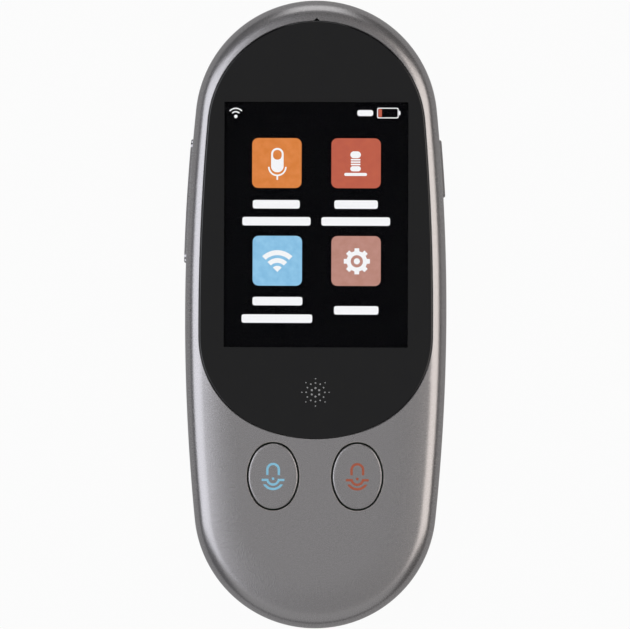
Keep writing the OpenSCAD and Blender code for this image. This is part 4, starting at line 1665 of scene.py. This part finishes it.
@dataclass
class Studio:
    """Pale floor, soft lamps on both sides and beyond the top end, and the camera overhead.

    Attributes:
        height: Height of the camera.
        focal: Focal length in millimetres.
        side_power: Power of the side lamps in watts.
        end_power: Power of the lamp beyond the top end in watts.
        near_power: Power of the faint lamp beyond the lower end in watts.
        top_power: Power of the faint lamp overhead in watts.
        shift: Place of the camera along X.
        roll: Turn of the camera in degrees.
        floor_half: Half of the floor's side in millimetres.
        floor_z: Level of the floor in millimetres.
        floor_white: Share of even white where the camera sees the floor.
        floor_shine: Part of that share where a reflection shows the floor.
        room: Brightness of the room, except where the camera sees it.
    """

    height: float = 0.667
    focal: float = 187.5
    side_power: float = 9.6
    end_power: float = 2.4
    near_power: float = 3.0
    top_power: float = 0.66
    shift: float = -0.00015
    roll: float = 0.2
    floor_half: float = 3000.0
    floor_z: float = -0.3
    floor_white: float = 0.96
    floor_shine: float = 0.3
    room: float = 0.03

    def floor_material(self) -> bpy.types.Material:
        """A pale matt floor that the camera sees as white.

        Returns:
            The material.
        """
        made = empty_material("PaleFloor")
        tree = made.node_tree
        plain = add_node(tree, "ShaderNodeBsdfDiffuse", {"Color": linear("8E8E8E")})
        white = add_node(tree, "ShaderNodeEmission", {"Color": linear("FFFFFF"), "Strength": 1.0})
        path = add_node(tree, "ShaderNodeLightPath")
        glossy = add_node(tree, "ShaderNodeMath", {
            0: path.outputs["Is Glossy Ray"], 1: self.floor_shine}, operation="MULTIPLY")
        seen = add_node(tree, "ShaderNodeMath", {
            0: path.outputs["Is Camera Ray"], 1: glossy.outputs["Value"]}, operation="MAXIMUM")
        through = add_node(tree, "ShaderNodeMath", {
            0: seen.outputs["Value"], 1: path.outputs["Is Transmission Ray"]}, operation="MAXIMUM")
        share = add_node(tree, "ShaderNodeMath", {
            0: through.outputs["Value"], 1: self.floor_white}, operation="MULTIPLY")
        mixed = add_node(tree, "ShaderNodeMixShader", {
            0: share.outputs["Value"], 1: plain.outputs["BSDF"], 2: white.outputs["Emission"]})
        add_node(tree, "ShaderNodeOutputMaterial", {"Surface": mixed.outputs["Shader"]})
        return made

    def floor(self) -> None:
        """The floor."""
        mesh = Mesh()
        half = self.floor_half
        corners = [(-half, -half), (half, -half), (half, half), (-half, half)]
        mesh.cap(mesh.ring(level(corners, self.floor_z)))
        data = bpy.data.meshes.new("floor")
        mesh.bm.to_mesh(data)
        mesh.bm.free()
        data.materials.append(self.floor_material())
        add_object("floor", data)

    def lamp(self, name: str, place: Point3, size: Point2, power: float, colour: str) -> None:
        """A soft rectangular lamp that points at the object.

        Args:
            name: Name of the lamp.
            place: Its place in metres.
            size: Its width and length in metres.
            power: Its power in watts.
            colour: Hex colour of its light.
        """
        data = bpy.data.lights.new(name, "AREA")
        data.shape = "RECTANGLE"
        data.size, data.size_y = size
        data.energy = power
        data.color = linear(colour)[:3]
        obj = add_object(name, data)
        spot = Vector(place)
        obj.matrix_world = Matrix.Translation(spot) @ spot.to_track_quat("Z", "Y").to_matrix().to_4x4()

    def lamps(self) -> None:
        """The lamps."""
        self.lamp("left_lamp", (-0.8, 0.08, 0.89), (1.0, 1.2), self.side_power, "F6F8FF")
        self.lamp("right_lamp", (0.85, 0.08, 0.85), (1.0, 1.0), 0.8 * self.side_power, "FFF7F0")
        self.lamp("end_lamp", (0.0, 1.1, 0.42), (0.6, 0.8), self.end_power, "FFFFFF")
        self.lamp("near_lamp", (0.0, -0.85, 0.7), (1.7, 1.2), self.near_power, "FFFFFF")
        self.lamp("top_lamp", (0.0, 0.0, 1.3), (0.8, 0.8), self.top_power, "FFFFFF")

    def sky(self) -> None:
        """A dim room that looks white behind the object."""
        world = bpy.data.worlds.new("room")
        bpy.context.scene.world = world
        world.use_nodes = True
        tree = world.node_tree
        tree.nodes.clear()
        dim = add_node(tree, "ShaderNodeBackground", {"Color": linear("FFFFFF"), "Strength": self.room})
        white = add_node(tree, "ShaderNodeBackground", {"Color": linear("FFFFFF"), "Strength": 1.0})
        path = add_node(tree, "ShaderNodeLightPath")
        mixed = add_node(tree, "ShaderNodeMixShader", {
            0: path.outputs["Is Camera Ray"], 1: dim.outputs["Background"], 2: white.outputs["Background"]})
        add_node(tree, "ShaderNodeOutputWorld", {"Surface": mixed.outputs["Shader"]})

    def camera(self) -> None:
        """The camera above the middle, with the top end of the object up."""
        data = bpy.data.cameras.new("camera")
        data.lens = self.focal
        data.sensor_width = 36.0
        data.clip_end = 20.0
        obj = add_object("camera", data)
        obj.location = (self.shift, 0.0, self.height)
        obj.rotation_euler = (0.0, 0.0, math.radians(self.roll))
        bpy.context.scene.camera = obj

    def build(self) -> None:
        """Builds the studio."""
        self.floor()
        self.lamps()
        self.sky()
        self.camera()
        bpy.context.scene.view_settings.view_transform = "Standard"


def main() -> None:
    """Builds and dresses the translator, then its studio."""
    logging.basicConfig(level=logging.INFO, format="%(message)s")
    Studio().build()
    shells = Shells()
    shells.front()
    shells.rear()
    CoverGlass().build()
    Picture().build()
    TalkButtons().build()
    SideKeys().build()
    dress_nodes()


if __name__ == "__main__":
    main()
